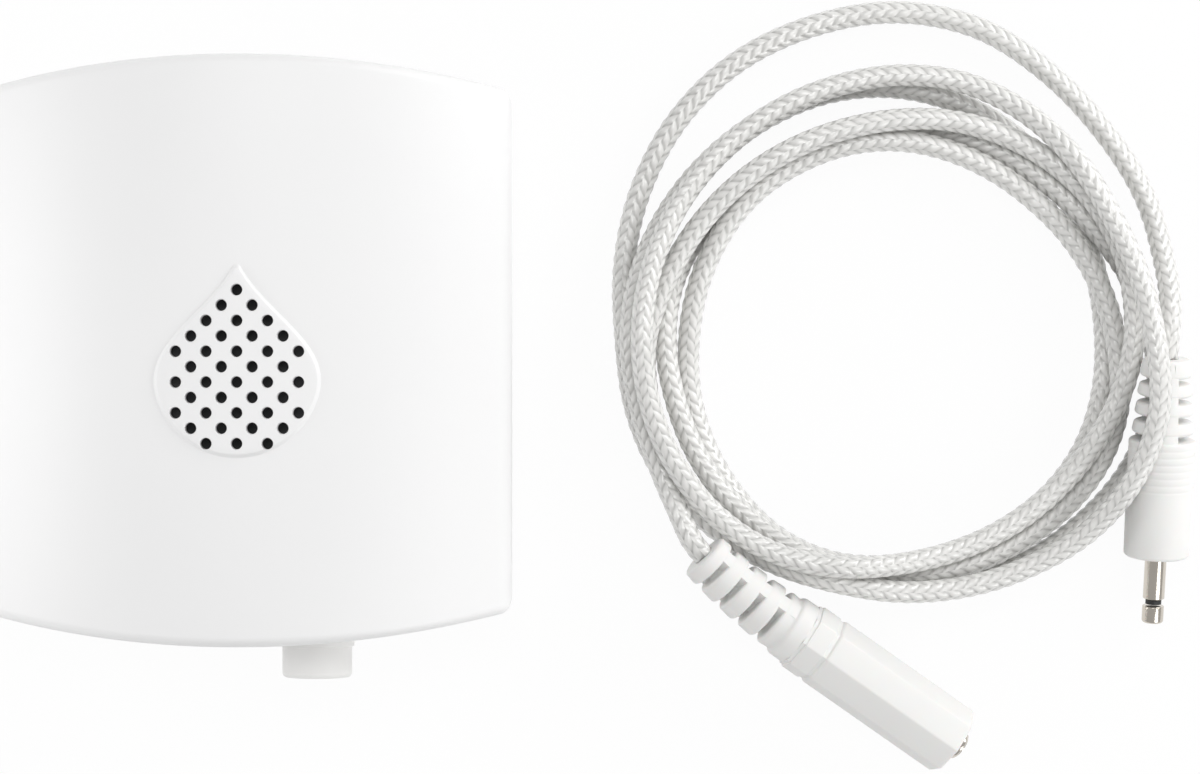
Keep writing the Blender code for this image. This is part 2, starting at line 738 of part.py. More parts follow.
def build_jack_socket(material):
    """Jack housing on the board, in line with the collar's bore."""
    low = board_top() + GAP
    face_y = jack_face_y()
    half = JACK_SIZE[0] / 2
    jack = make_object("jack_socket", box(
        (PORT_X - half, face_y, low), (PORT_X + half, face_y + JACK_SIZE[1],
                                       low + JACK_SIZE[2])), material)
    combine(jack, make_cutter("jack_bore", port_rod(
        PORT_BORE_RADIUS, face_y + JACK_SIZE[1] * 0.85, face_y - BOOLEAN_OVERLAP)))
    return jack


# Plug, socket and cable

def relief_length(ribs):
    return ribs[0] + ribs[1] * (RIB_GAPS - 1) + RIB_GAP_WIDTH + ribs[2]


def rounded(radius, height, ease, way):
    """Profile points of a rounded edge, before (-1) or after (1) a groove."""
    points = []
    for share in (0, 1 / 3, 2 / 3, 1):
        angle = math.pi / 2 * share
        points.append((radius - ease + ease * math.cos(angle),
                       height + way * ease * (1 - math.sin(angle))))
    return points if way < 0 else points[::-1]


def relief_profile(radii, ribs):
    """Half outline of a ribbed strain relief, from the cord's end on."""
    length = relief_length(ribs)

    def radius(z):
        return radii[0] + (radii[1] - radii[0]) * z / length

    profile = [(0, 0)] + rounded(radii[0], 0, RIB_EASE, 1)
    for i in range(RIB_GAPS):
        start = ribs[0] + ribs[1] * i
        end = start + RIB_GAP_WIDTH
        profile += rounded(radius(start), start, RIB_EASE, -1)
        profile += [(RIB_CORE, start), (RIB_CORE, end)]
        if end < length:
            profile += rounded(radius(end), end, RIB_EASE, 1)
    return profile


def relief_web(radii, ribs, lean):
    """A bar through the axis that joins the ribs on two sides, flush with them."""
    length = relief_length(ribs)
    bm = bmesh.new()
    rings = []
    steps = 12
    turns = [side * 180 + WEB_SPREAD * share for side in (0, 1)
             for share in (-0.5, -0.25, 0, 0.25, 0.5)]
    for i in range(steps + 1):
        z = RIB_EASE + (length + RIB_GAP_WIDTH - RIB_EASE) * i / steps
        reach = radii[0] + (radii[1] - radii[0]) * min(z / length, 1) - WEB_INSET
        ring = []
        for turn in turns:
            angle = math.radians(turn + lean)
            ring.append(bm.verts.new((-reach * math.sin(angle), reach * math.cos(angle), z)))
        rings.append(ring)
    count = len(turns)
    for low, high in zip(rings, rings[1:]):
        for j in range(count):
            k = (j + 1) % count
            bm.faces.new((low[j], low[k], high[k], high[j]))
    bm.faces.new(rings[0])
    bm.faces.new(rings[-1])
    return bm


def bent(bm, length, degrees):
    """Bend what lies before a length to the left, along a circle."""
    curve = math.radians(degrees) / length
    for vert in bm.verts:
        back = length - vert.co.z
        if back > 0:
            turn = curve * back
            x, y = vert.co.x, vert.co.y
            vert.co = (x, (1 - math.cos(turn)) / curve + y * math.cos(turn),
                       length - math.sin(turn) / curve + y * math.sin(turn))
    bmesh.ops.triangulate(bm, faces=bm.faces)
    return bm


def build_plug(white, nickel, black):
    """Moulded mono jack plug: strain relief, grip and three-piece pin."""
    place = along(PLUG_END, PLUG_HEADING, PLUG_DIP)
    relief_end = relief_length(PLUG_RIBS)
    body_end = relief_end + PLUG_LENGTH
    profile = relief_profile(PLUG_RELIEF_RADII, PLUG_RIBS)
    profile += [(PLUG_RADIUS - PLUG_FILLET / 2, relief_end),
                (PLUG_RADIUS, relief_end + PLUG_FILLET / 2)]
    for i in range(GRIP_GROOVES):
        groove = relief_end + GRIP_START + GRIP_PITCH * i
        profile += [(PLUG_RADIUS, groove - GRIP_PITCH / 4),
                    (PLUG_RADIUS - GRIP_DEPTH, groove), (PLUG_RADIUS, groove + GRIP_PITCH / 4)]
    end_radius = PLUG_RADIUS - PLUG_TAPER
    profile += [(end_radius, body_end - PLUG_FILLET), (end_radius - PLUG_FILLET, body_end),
                (0, body_end)]
    body = make_object("plug_body", turned(profile), white)
    body.matrix_world = place
    web = make_cutter("plug_web", relief_web(PLUG_RELIEF_RADII, PLUG_RIBS, PLUG_WEB_LEAN))
    web.matrix_world = place
    combine(body, web, "UNION")
    low = body_end + GAP
    sleeve_end = low + PIN_SLEEVE_LENGTH
    ease = 0.0003
    sleeve = [(0, low), (PIN_RADIUS, low), (PIN_RADIUS, sleeve_end), (0, sleeve_end)]
    ring_end = sleeve_end + GAP + PIN_RING_LENGTH
    ring = [(0, sleeve_end + GAP), (PIN_RING_RADIUS, sleeve_end + GAP),
            (PIN_RING_RADIUS, ring_end), (0, ring_end)]
    tip_start = ring_end + GAP
    tip_end = tip_start + PIN_TIP_LENGTH
    tip = [(0, tip_start), (PIN_RADIUS - ease / 3, tip_start),
           (PIN_RADIUS, tip_start + ease / 3), (PIN_RADIUS, tip_end - ease)]
    tip += rounded(PIN_RADIUS, tip_end, ease, -1)[1:] + [(0, tip_end)]
    for name, shape, material in (("plug_sleeve", sleeve, nickel),
                                  ("plug_insulator", ring, black),
                                  ("plug_tip", tip, nickel)):
        piece = make_object(name, turned(shape, 24), material)
        piece.matrix_world = place


def eight_sided(flats, start, end):
    corner = flats / 2 / math.cos(math.pi / 8)
    outline = arc((0, 0), corner, 22.5 + SOCKET_ROLL, 337.5 + SOCKET_ROLL, 7)
    return prism(outline, start, end)


def socket_place():
    """Placement of the socket from its strain relief's start, as if it were straight."""
    joint = along(SOCKET_JOINT, SOCKET_HEADING, SOCKET_DIP)
    return joint @ Matrix.Translation((0, 0, -relief_length(SOCKET_RIBS)))


def socket_cord_place():
    """Placement where the cord enters the bent strain relief."""
    length = relief_length(SOCKET_RIBS)
    turn = math.radians(SOCKET_BEND)
    shift = Vector((0, (1 - math.cos(turn)) * length / turn,
                    length - math.sin(turn) * length / turn))
    return socket_place() @ Matrix.Translation(shift) @ Matrix.Rotation(turn, 4, "X")


def build_socket(white, nickel):
    """Moulded extension socket: bent strain relief, band, collar and eight-sided body."""
    relief_end = relief_length(SOCKET_RIBS)
    band_end = relief_end + SOCKET_BAND[0]
    collar_end = band_end + SOCKET_COLLAR[0]
    body_start = collar_end + SOCKET_NECK[0]
    end = body_start + SOCKET_LENGTH
    band = SOCKET_BAND[1]
    profile = relief_profile(SOCKET_RELIEF_RADII, SOCKET_RIBS)
    profile += [(SOCKET_RELIEF_RADII[1] - RIB_EASE / 3, relief_end)]
    profile += rounded(band, relief_end + RIB_EASE / 3, RIB_EASE, 1)[1:]
    profile += rounded(band, band_end - SOCKET_NECK[0], RIB_EASE / 2, -1)
    profile += [(0, band_end - SOCKET_NECK[0])]
    grip = make_cutter("socket_grip", bent(turned(profile), relief_end, SOCKET_BEND))
    web = make_cutter("socket_web", bent(relief_web(
        SOCKET_RELIEF_RADII, SOCKET_RIBS, SOCKET_WEB_LEAN), relief_end, SOCKET_BEND))
    neck = make_cutter("socket_neck", eight_sided(
        SOCKET_NECK[1], band_end - 2 * SOCKET_NECK[0], body_start + SOCKET_FILLET))
    collar = make_cutter("socket_collar", eight_sided(SOCKET_COLLAR[1], band_end, collar_end))
    bevel_edges(collar, SOCKET_FILLET / 3, 2, 60)
    body = make_object("socket_body", eight_sided(SOCKET_FLATS, body_start, end), white)
    bevel_edges(body, SOCKET_FILLET, 2, 60)
    for piece in (neck, collar, grip, web):
        combine(body, piece, "UNION")
    bush_start = end + SOCKET_BUSH_PROUD - SOCKET_BUSH_LENGTH
    deep = end - BORE_SHARE * SOCKET_LENGTH
    contact_radius = PORT_BORE_RADIUS + SOCKET_CONTACT_WALL
    bore = make_cutter("socket_bore", turned([
        (0, deep), (contact_radius + GAP, deep), (contact_radius + GAP, bush_start - GAP),
        (SOCKET_BUSH_RADIUS + GAP, bush_start - GAP),
        (SOCKET_BUSH_RADIUS + GAP, end + BOOLEAN_OVERLAP), (0, end + BOOLEAN_OVERLAP)]))
    combine(body, bore)
    bush = make_object("socket_bush", turned([
        (PORT_BORE_RADIUS, bush_start), (SOCKET_BUSH_RADIUS, bush_start),
        (SOCKET_BUSH_RADIUS, end + SOCKET_BUSH_PROUD - 0.0002),
        (SOCKET_BUSH_RADIUS - 0.0002, end + SOCKET_BUSH_PROUD),
        (PORT_BORE_RADIUS, end + SOCKET_BUSH_PROUD)]), nickel)
    contact = make_object("socket_contact", turned([
        (PORT_BORE_RADIUS, deep + GAP), (contact_radius, deep + GAP),
        (contact_radius, bush_start - 2 * GAP),
        (PORT_BORE_RADIUS, bush_start - 2 * GAP)], 24), nickel)
    for piece in (body, grip, web, neck, collar, bore, bush, contact):
        piece.matrix_world = socket_place()


def coil_point(degrees, radius, height):
    angle = math.radians(degrees)
    return Vector((COIL_CENTRE[0] + radius * math.cos(angle),
                   COIL_CENTRE[1] + radius * math.sin(angle), height))


def smooth_between(before, start, end, after, share):
    """A Catmull-Rom step between two values."""
    return 0.5 * (2 * start + (end - before) * share
                  + (2 * before - 5 * start + 4 * end - after) * share ** 2
                  + (3 * start - before - 3 * end + after) * share ** 3)


def coil_section(degrees):
    """Outside, inside and top of the coil in one direction."""
    count = len(COIL_OUTLINE)
    place = degrees / 360 * count
    index = math.floor(place)
    near = [COIL_OUTLINE[(index + i) % count] for i in (-1, 0, 1, 2)]
    return [smooth_between(*values, place - index) for values in zip(*near)]


def build_cable_coil(material):
    """One closed ring of the coil's outer shape, which the turns of cord fit."""
    bm = bmesh.new()
    rings = []
    for i in range(COIL_STEPS):
        degrees = 360 * i / COIL_STEPS
        outside, inside, top = coil_section(degrees)
        r = CORD_RADIUS
        section = arc((outside - r, r), r, -90, 0, 3) + arc((outside - r, top - r), r, 0, 90, 3)
        section += arc((inside + r, top - r), r, 90, 180, 3)
        section += arc((inside + r, r), r, 180, 270, 3)
        rings.append([bm.verts.new(coil_point(degrees, *point)) for point in section])
    count = len(rings[0])
    for i, ring in enumerate(rings):
        following = rings[(i + 1) % COIL_STEPS]
        for j in range(count):
            k = (j + 1) % count
            bm.faces.new((ring[j], ring[k], following[k], following[j]))
    coil = make_object("cable_coil", bm, material)
    for name, (start, end, radius) in (("plug_cut", PLUG_CUT), ("socket_cut", SOCKET_CUT)):
        steps = 12
        inner = arc(COIL_CENTRE, radius, start, end, steps)
        outer = arc(COIL_CENTRE, 2 * radius, end, start, steps)
        combine(coil, make_cutter(name, prism(
            inner + outer, -BOOLEAN_OVERLAP, CASE_DEPTH)))
    return coil


def cord_points(route, start_cut, end_cut, extra=()):
    """Points every few diameters on a smooth curve through a route."""
    places = [coil_point(*stop) for stop in route] + list(extra)
    first = 2 * places[0] - places[1]
    last = 2 * places[-1] - places[-2]
    padded = [first, *places, last]
    curve = []
    for i in range(len(places) - 1):
        for step in range(8):
            curve.append(smooth_between(*padded[i:i + 4], step / 8))
    curve.append(places[-1])
    lengths = [0.0]
    for a, b in zip(curve, curve[1:]):
        lengths.append(lengths[-1] + (b - a).length)
    total = lengths[-1] - start_cut - end_cut
    count = max(2, round(total / (5 * CORD_RADIUS)))
    points = []
    for i in range(count + 1):
        wanted = start_cut + total * i / count
        index = max(j for j, length in enumerate(lengths[:-1]) if length <= wanted + 1e-9)
        span = lengths[index + 1] - lengths[index]
        points.append(curve[index].lerp(curve[index + 1], (wanted - lengths[index]) / span))
    return points


def lead_points(route, place):
    """A route that ends straight, face to face with a moulding placed along its axis."""
    before = place @ Vector((0, 0, -LEAD_IN))
    return cord_points(route, 2 * GAP, 0, [before]) + [place @ Vector((0, 0, -GAP))]


def build_cable_ends(material):
    """The free stretches: over and under the plug, and into the plug and the socket."""
    to_plug = lead_points(INTO_PLUG, along(PLUG_END, PLUG_HEADING, PLUG_DIP))
    to_socket = lead_points(INTO_SOCKET, socket_cord_place())
    for name, points in (("cable_over_plug", cord_points(OVER_PLUG, 2 * GAP, 2 * GAP)),
                         ("cable_under_plug", cord_points(UNDER_PLUG, 2 * GAP, 2 * GAP)),
                         ("cable_to_plug", to_plug), ("cable_to_socket", to_socket)):
        make_tube(name, points, CORD_RADIUS, CORD_SIDES, material)


# Build

def build_alarm_unit(white, warm_white, black, steel, green, dark, silver, cell_wrap):
    build_front_shell(white)
    build_rear_cover(white)
    build_battery_door(white)
    for index in range(2):
        build_cell(index, cell_wrap)
        build_contact_plate(index, 1, steel)
        build_contact_plate(index, -1, steel)
        build_contact_spring(index, steel)
    for i, (x, y) in enumerate(case_screw_places(), 1):
        build_screw(f"case_screw_{i}", (x, y, 0), False, CASE_SCREW_LENGTH, steel)
    build_circuit_board(green)
    for i, (x, y) in enumerate(board_screw_places(), 1):
        place = (x, y, board_top() + GAP + SCREW_HEAD_HEIGHT)
        build_screw(f"board_screw_{i}", place, True, BOARD_SCREW_LENGTH, steel)
    build_siren(black)
    build_siren_mesh(dark)
    build_on_board("radio_module", RADIO_SIZE, radio_x(), silver)
    build_on_board("processor", CHIP_SIZE, chip_x(), black)
    build_capacitor(silver)
    build_port_collar(warm_white)
    build_jack_socket(black)


clear_scene()
ROOT = bpy.data.objects.new("water_leak_alarm", None)
bpy.context.collection.objects.link(ROOT)

WHITE = make_material("white_plastic", (0.86, 0.86, 0.85), 0.38)
WARM_WHITE = make_material("warm_white_plastic", (0.82, 0.80, 0.76), 0.42)
CABLE_WHITE = make_material("white_moulding", (0.84, 0.84, 0.83), 0.45)
BRAID = make_material("white_braid", (0.78, 0.78, 0.75), 0.8)
BLACK = make_material("black_plastic", (0.03, 0.03, 0.03), 0.5)
DARK = make_material("dark_mesh", (0.02, 0.02, 0.022), 0.9)
GREEN = make_material("board_green", (0.02, 0.16, 0.07), 0.45)
STEEL = make_material("steel", (0.6, 0.6, 0.6), 0.35, 1.0)
NICKEL = make_material("nickel", (0.72, 0.69, 0.64), 0.2, 1.0)
SILVER = make_material("tinned_can", (0.7, 0.71, 0.72), 0.3, 1.0)
CELL_WRAP = make_material("cell_wrap", (0.09, 0.1, 0.12), 0.4)

build_alarm_unit(WHITE, WARM_WHITE, BLACK, STEEL, GREEN, DARK, SILVER, CELL_WRAP)
build_plug(CABLE_WHITE, NICKEL, BLACK)
build_socket(CABLE_WHITE, NICKEL)
build_cable_coil(BRAID)
build_cable_ends(BRAID)
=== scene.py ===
"""Looks of the water leak alarm and its braided sensing cable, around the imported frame."""
import math

import bmesh
import bpy
import numpy as np
from mathutils import Matrix, Vector
from mathutils.geometry import interpolate_bezier

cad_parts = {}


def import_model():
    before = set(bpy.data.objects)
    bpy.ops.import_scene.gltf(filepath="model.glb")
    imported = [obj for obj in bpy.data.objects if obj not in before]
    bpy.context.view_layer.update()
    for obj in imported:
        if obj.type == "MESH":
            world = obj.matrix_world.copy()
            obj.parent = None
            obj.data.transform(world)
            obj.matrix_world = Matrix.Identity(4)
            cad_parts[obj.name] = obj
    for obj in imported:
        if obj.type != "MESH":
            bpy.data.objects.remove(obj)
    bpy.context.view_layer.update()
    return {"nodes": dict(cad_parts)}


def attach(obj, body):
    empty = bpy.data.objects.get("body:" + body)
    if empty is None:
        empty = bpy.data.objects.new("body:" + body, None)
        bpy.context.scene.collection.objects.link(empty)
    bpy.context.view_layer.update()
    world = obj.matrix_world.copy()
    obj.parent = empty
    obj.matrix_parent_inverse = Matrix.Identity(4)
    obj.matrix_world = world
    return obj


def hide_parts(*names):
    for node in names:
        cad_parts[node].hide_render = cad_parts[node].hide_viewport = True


MM = 0.001

# Camera, straight down at the front as in the photograph
CAMERA_PLACE = (0.0564, -0.0057, 0.700)
CAMERA_LENS = 128.94
CAMERA_SENSOR = 36.0

# Sensing cable
CORD_RADIUS = 1.85           # mm, over the braid
BRAID_RELIEF = 0.30          # mm, from the crown of a bundle down to the groove
BRAID_PITCH = 2.1            # mm along the cord from one bundle to the next
BRAID_COLUMNS = 8            # columns of slanted bundles around the cord
COLUMN_POINTS = 3            # mesh points across one column
PITCH_POINTS = 6             # mesh points along one bundle
BRAID_SLANT = 0.62           # a bundle's climb across its column, in pitches
BUNDLE_BULGE = 0.6           # power of the sine along a bundle; lower is blunter
COLUMN_BORDER = 0.45         # height of the line between columns, as a share of the relief
FLOOR_GAP = 0.02             # mm, kept between the cord and the floor
PLUG_END = (147.25, -1.1, 11.4)        # mm, where the cord enters the plug
PLUG_HEADING = (-91.9, 10.0)           # plan direction and dip, degrees
PLUG_LEAD = 2.0                        # mm of straight cord at the plug
SOCKET_END = (72.956, -32.616, 13.567)
SOCKET_HEADING = (-45.3, 8.4)
SOCKET_LEAD = 2.6
COIL_CENTRE = (104.4, 1.9)             # mm
# Points of the coil: radius and height in mm, after the angle in degrees
ROUTE_START = (5.7, 43.8, 10.9)
ROUTE_FINISH = (217.7, 44.85, 12.5)
# Between them, one point every TURN_STEP degrees: radius and height in mm
TURN_STEP = 15
ROUTE = (
    (44.7, 7.4), (46.6, 3.4), (47.9, 2.1), (50.0, 1.9), (52.5, 1.9), (53.3, 1.9), (52.8, 1.9),
    (52.0, 1.9), (50.3, 2.0), (48.0, 2.6), (45.7, 4.3), (43.9, 7.6), (43.8, 6.6), (43.5, 6.5),
    (42.4, 6.6), (41.2, 9.6), (40.2, 11.6), (40.5, 10.1), (41.2, 8.2), (42.2, 7.9), (43.4, 9.9),
    (43.5, 14.2), (42.5, 16.8), (40.4, 16.4), (39.5, 13.5), (39.2, 12.6), (40.4, 11.0), (42.0, 7.6),
    (43.0, 5.6), (42.8, 5.4), (42.2, 5.7), (41.8, 5.8), (41.6, 6.2), (41.5, 7.8), (41.4, 11.3),
    (41.4, 14.9), (41.4, 14.0), (41.2, 13.7), (40.7, 12.6), (39.6, 13.5), (37.7, 14.3),
    (36.0, 11.1), (35.2, 8.6), (35.0, 7.3), (35.1, 6.9), (35.7, 7.4), (36.8, 8.6), (38.0, 8.6),
    (38.7, 8.2), (38.7, 8.7), (38.2, 7.8), (37.4, 6.8), (36.5, 6.7), (35.5, 7.6), (35.0, 8.5),
    (35.2, 8.5), (35.9, 8.0), (37.0, 6.8), (38.5, 6.3), (40.6, 5.6), (41.3, 3.5), (41.2, 2.4),
    (40.8, 2.0), (40.3, 1.9), (40.1, 1.9), (40.3, 1.9), (41.0, 1.9), (41.8, 1.9), (42.5, 1.9),
    (43.4, 1.9), (43.6, 2.0), (41.8, 2.5), (39.2, 3.7), (36.7, 5.5), (35.2, 5.4), (34.8, 3.9),
    (34.4, 2.7), (34.1, 2.1), (33.9, 1.9), (34.0, 1.9), (34.7, 1.9), (36.1, 2.0), (37.3, 2.5),
    (37.4, 3.5), (37.1, 4.8), (37.3, 5.6), (37.5, 6.8), (37.6, 8.1), (37.9, 8.3), (38.2, 6.9),
    (38.1, 5.6), (38.1, 4.9), (38.4, 4.4), (38.4, 4.4), (37.4, 4.7), (35.4, 5.4), (33.9, 5.8),
    (32.6, 6.1), (31.6, 6.5), (31.5, 5.8), (31.8, 5.5), (32.3, 5.4), (32.6, 5.5), (32.8, 5.5),
    (33.2, 5.4), (33.2, 4.5), (33.3, 3.1), (33.6, 2.3), (34.5, 2.0), (35.4, 2.3), (36.4, 3.1),
    (37.4, 4.4), (37.4, 4.6), (36.5, 3.4), (35.9, 2.5), (35.5, 2.0), (35.5, 1.9), (35.3, 1.9),
    (34.7, 1.9), (34.1, 1.9), (34.2, 1.9), (35.3, 1.9), (36.8, 1.9), (38.4, 1.9), (39.9, 1.9),
    (41.1, 1.9), (41.7, 1.9), (41.8, 2.0), (42.0, 2.4), (42.4, 4.0), (42.9, 7.5), (43.2, 11.5),
    (43.0, 10.2), (43.8, 10.5),
)
ROUTE_STEP = 0.4             # mm, spacing of the smooth route
ROUTE_EASE = 2.0             # mm, over which bends are evened out
PATH_STRIDE = 4              # every so many points of the smooth route go into the returned path

# Alarm unit, mm
CASE_WIDTH = 84.2
CASE_HEIGHT = 92.4
END_RADIUS = 185.0
CORNER_RADIUS = 1.8
CASE_DEPTH = 33.0
SIDE_DEPTH = 19.0
RIM_FILLET = 1.6
CASE_WALL = 2.2
DROP_Y = -3.55
DROP_RADIUS = 13.3
DROP_APEX = 17.15
DROP_TIP_RADIUS = 0.63
DROP_TIP_LEAN = 0.55
DROP_TIP_PULL = 8.5
DROP_SHOULDER = -3.0
DROP_SIDE_PULL = 8.0
DROP_RISE = 0.5
DROP_EDGE = 0.8              # width of the soft edge
DROP_FOOT = 0.04             # how far the soft edge starts below the front
DROP_ROOT = 1.0              # how far the pad reaches into the wall
DROP_RING_STEP = 0.065       # share between two rings on top of the pad
HOLE_RADIUS = 0.9
HOLE_DEPTH = 5.0
HOLE_MOUTH = ((0.0, -0.2), (0.06, -0.06), (0.2, 0.4))   # added radius and height
HOLE_PITCH = 4.78
ROW_PITCH = 2.39
FIRST_ROW = 12.95
HOLE_ROWS = (1, 2, 3, 4, 5, 4, 5, 4, 5, 4, 3)
PORT_X = 11.35
PORT_Z = 14.9
PORT_HOLE = 4.3              # radius of the hole in the wall
BORE_RADIUS = 1.85           # the port's and the socket's bore
COLLAR_Y = -46.42
COLLAR_RADIUS = 5.55
COLLAR_LENGTH = 5.5
COLLAR_ROUND = 0.8
COLLAR_MOUTH = ((2.6, 0), (2.4, 0.05), (1.85, 0.6))   # radius and depth, into the bore
NECK_RADIUS = 4.0
NECK_END = -2.2
FLANGE_RADII = (3.9, 5.9)
FLANGE_SPAN = (-1.3, 0.55)
FLANGE_ROUND = 0.12
WALL_CLEARANCE = 0.15        # between the flange and the case's wall

# Pieces that are turned round an axis
PIECE_GAP = 0.3              # mm between touching pieces, as in the frame
BODY_STEPS = 96              # faces round a body
PIN_STEPS = 64               # and round the small metal pieces

# Plug, mm: radii at the cord and the body; first rib, pitch and last rib
PLUG_RELIEF_RADII = (3.9, 5.1)
PLUG_RIBS = (2.9, 3.07, 0.0)
PLUG_WEB_LEAN = 83.0
PLUG_RADIUS = 5.4
PLUG_LENGTH = 19.2
GRIP_GROOVES = 7
GRIP_PITCH = 1.12
GRIP_START = 1.2
GRIP_DEPTH = 0.055
GRIP_WIDTH = 0.35            # half a groove's width, in pitches
PIN_RADIUS = 1.75
PIN_SLEEVE = 6.7
PIN_RING = 0.6
PIN_TIP = 2.8
PLUG_TAPER = 0.15            # how much slimmer the body ends
PLUG_ROUNDS = (0.4, 0.6)     # rounded edges at the relief and at the pin
SLEEVE_ROUND = 0.12
TIP_ROUNDS = (0.15, 0.45)

# Socket, mm: length and radius or width of each band
SOCKET_JOINT = (85.81, -43.5, 11.06)
SOCKET_BODY_HEADING = (-35.2, 8.5)
SOCKET_ROLL = -15.5
SOCKET_FLATS = 11.1
SOCKET_LENGTH = 26.5
SOCKET_BAND = (3.85, 5.3)
SOCKET_COLLAR = (3.4, 10.95)
SOCKET_NECK = (0.5, 10.4)
SOCKET_RELIEF_RADII = (4.1, 4.9)
SOCKET_RIBS = (2.4, 3.9, 1.9)
SOCKET_WEB_LEAN = 53.5
SOCKET_BEND = 10.0
SOCKET_ROUND = 0.7
SOCKET_MOUTH = (2.7, 8.0)    # radius and depth
BUSH_RADIUS = 2.4
BUSH_LENGTH = 6.0
BUSH_RISE = 1.4              # how far it stands out of the socket's end

# Strain reliefs, mm
RIB_GAPS = 4
RIB_GAP_WIDTH = 1.05
RIB_CORE = 1.9
RIB_EASE = 0.55
RIB_ROOT = 0.2               # small slope at the core
WEB_SPREAD = 31.0

# Stage
FLOOR_REACH = 3.0            # metres from the middle to each edge
FLOOR_LEVEL = -0.0002
FLOOR_GLOW = 0.95            # how much of the floor's look is plain white
WORLD_LIGHT = 0.50
# Each lamp's place, aim and size in metres, and its power in watts
LAMPS = {
    "key": ((0.47, 0.30, 0.24), (0.06, 0.0, 0.01), 0.36, 1.5),
    "left": ((-0.22, 0.0, 0.10), (-0.03, -0.01, 0.02), 0.15, 0.20),
    "front": ((0.03, 0.38, 1.25), (0.05, 0.0, 0.01), 0.50, 2.7),
    "below": ((0.38, -0.28, 0.30), (0.0, -0.05, 0.01), 0.25, 0.60)}


def set_camera():
    """Straight down at the front, as in the photograph."""
    data = bpy.data.cameras.new("camera")
    data.lens = CAMERA_LENS
    data.sensor_width = CAMERA_SENSOR
    data.clip_start = 0.01
    data.clip_end = 20
    camera = bpy.data.objects.new("camera", data)
    camera.location = CAMERA_PLACE
    bpy.context.collection.objects.link(camera)
    bpy.context.scene.camera = camera


# Sensing cable

def heading_vector(heading):
    """Unit vector of a plan direction and a dip below level, in degrees."""
    plan, dip = (math.radians(angle) for angle in heading)
    return np.array((math.cos(plan) * math.cos(dip), math.sin(plan) * math.cos(dip),
                     -math.sin(dip)))


def coil_point(degrees, radius, height):
    """A point of the coil, in mm."""
    angle = math.radians(degrees)
    return np.array((COIL_CENTRE[0] + radius * math.cos(angle),
                     COIL_CENTRE[1] + radius * math.sin(angle), height))


def route_points():
    """The cord's route from the plug to the socket, before smoothing, in mm."""
    plug = np.array(PLUG_END)
    socket = np.array(SOCKET_END)
    points = [plug, plug - PLUG_LEAD * heading_vector(PLUG_HEADING), coil_point(*ROUTE_START)]
    for i, (radius, height) in enumerate(ROUTE, 1):
        points.append(coil_point(i * TURN_STEP, radius, height))
    points += [coil_point(*ROUTE_FINISH),
               socket - SOCKET_LEAD * heading_vector(SOCKET_HEADING), socket]
    return np.array(points)


def even_steps(curve, step):
    """Points at an even spacing along a line of points."""
    lengths = np.r_[0, np.cumsum(np.linalg.norm(np.diff(curve, axis=0), axis=1))]
    wanted = np.linspace(0, lengths[-1], round(lengths[-1] / step) + 1)
    return np.stack([np.interp(wanted, lengths, curve[:, k]) for k in range(3)], 1)


def smooth_route():
    """A Catmull-Rom curve through the route, with its bends evened out."""
    points = route_points()
    padded = np.vstack([2 * points[0] - points[1], points, 2 * points[-1] - points[-2]])
    share = np.linspace(0, 1, 24, endpoint=False)[:, None]
    spans = []
    for a, b, c, d in zip(padded, padded[1:], padded[2:], padded[3:]):
        spans.append(0.5 * (2 * b + (c - a) * share + (2 * a - 5 * b + 4 * c - d) * share ** 2
                            + (3 * b - a - 3 * c + d) * share ** 3))
    curve = even_steps(np.vstack(spans + [points[-1:]]), ROUTE_STEP)
    reach = int(4 * ROUTE_EASE / ROUTE_STEP)
    weights = np.exp(-0.5 * (np.arange(-reach, reach + 1) * ROUTE_STEP / ROUTE_EASE) ** 2)
    weights /= weights.sum()
    padded = np.vstack([2 * curve[0] - curve[reach:0:-1], curve,
                        2 * curve[-1] - curve[-2:-reach - 2:-1]])
    return np.stack([np.convolve(padded[:, k], weights, "valid") for k in range(3)], 1)


def cross_frames(curve):
    """Two directions across a curve at each point, which turn as little as they can."""
    tangents = np.gradient(curve, axis=0)
    tangents /= np.linalg.norm(tangents, axis=1)[:, None]
    side = np.cross(tangents[0], (0, 0, 1))
    sides = []
    for tangent in tangents:
        side = side - tangent * side.dot(tangent)
        side /= np.linalg.norm(side)
        sides.append(side)
    sides = np.array(sides)
    return sides, np.cross(tangents, sides)


def braid_grid(total):
    """Each mesh point's distance along and out of the cord, and each column's angle."""
    around = BRAID_COLUMNS * COLUMN_POINTS
    columns = np.arange(around)
    across = (columns % COLUMN_POINTS) / COLUMN_POINTS
    odd = columns // COLUMN_POINTS % 2
    step = BRAID_PITCH / PITCH_POINTS
    row = np.arange(int(total / step) + 1)[:, None]
    slant = np.where(odd == 0, across, 1 - across) * BRAID_SLANT * BRAID_PITCH
    along = np.clip(row * step + slant - slant.mean(), 0, total)
    along[0] = 0
    along[-1] = total
    phase = (row / PITCH_POINTS + 0.5 * odd) % 1.0
    crown = np.where(across == 0, COLUMN_BORDER, np.sin(np.pi * phase) ** BUNDLE_BULGE)
    radius = CORD_RADIUS - BRAID_RELIEF * (1 - crown)
    return np.sort(along, axis=0), radius, 2 * np.pi * columns / around


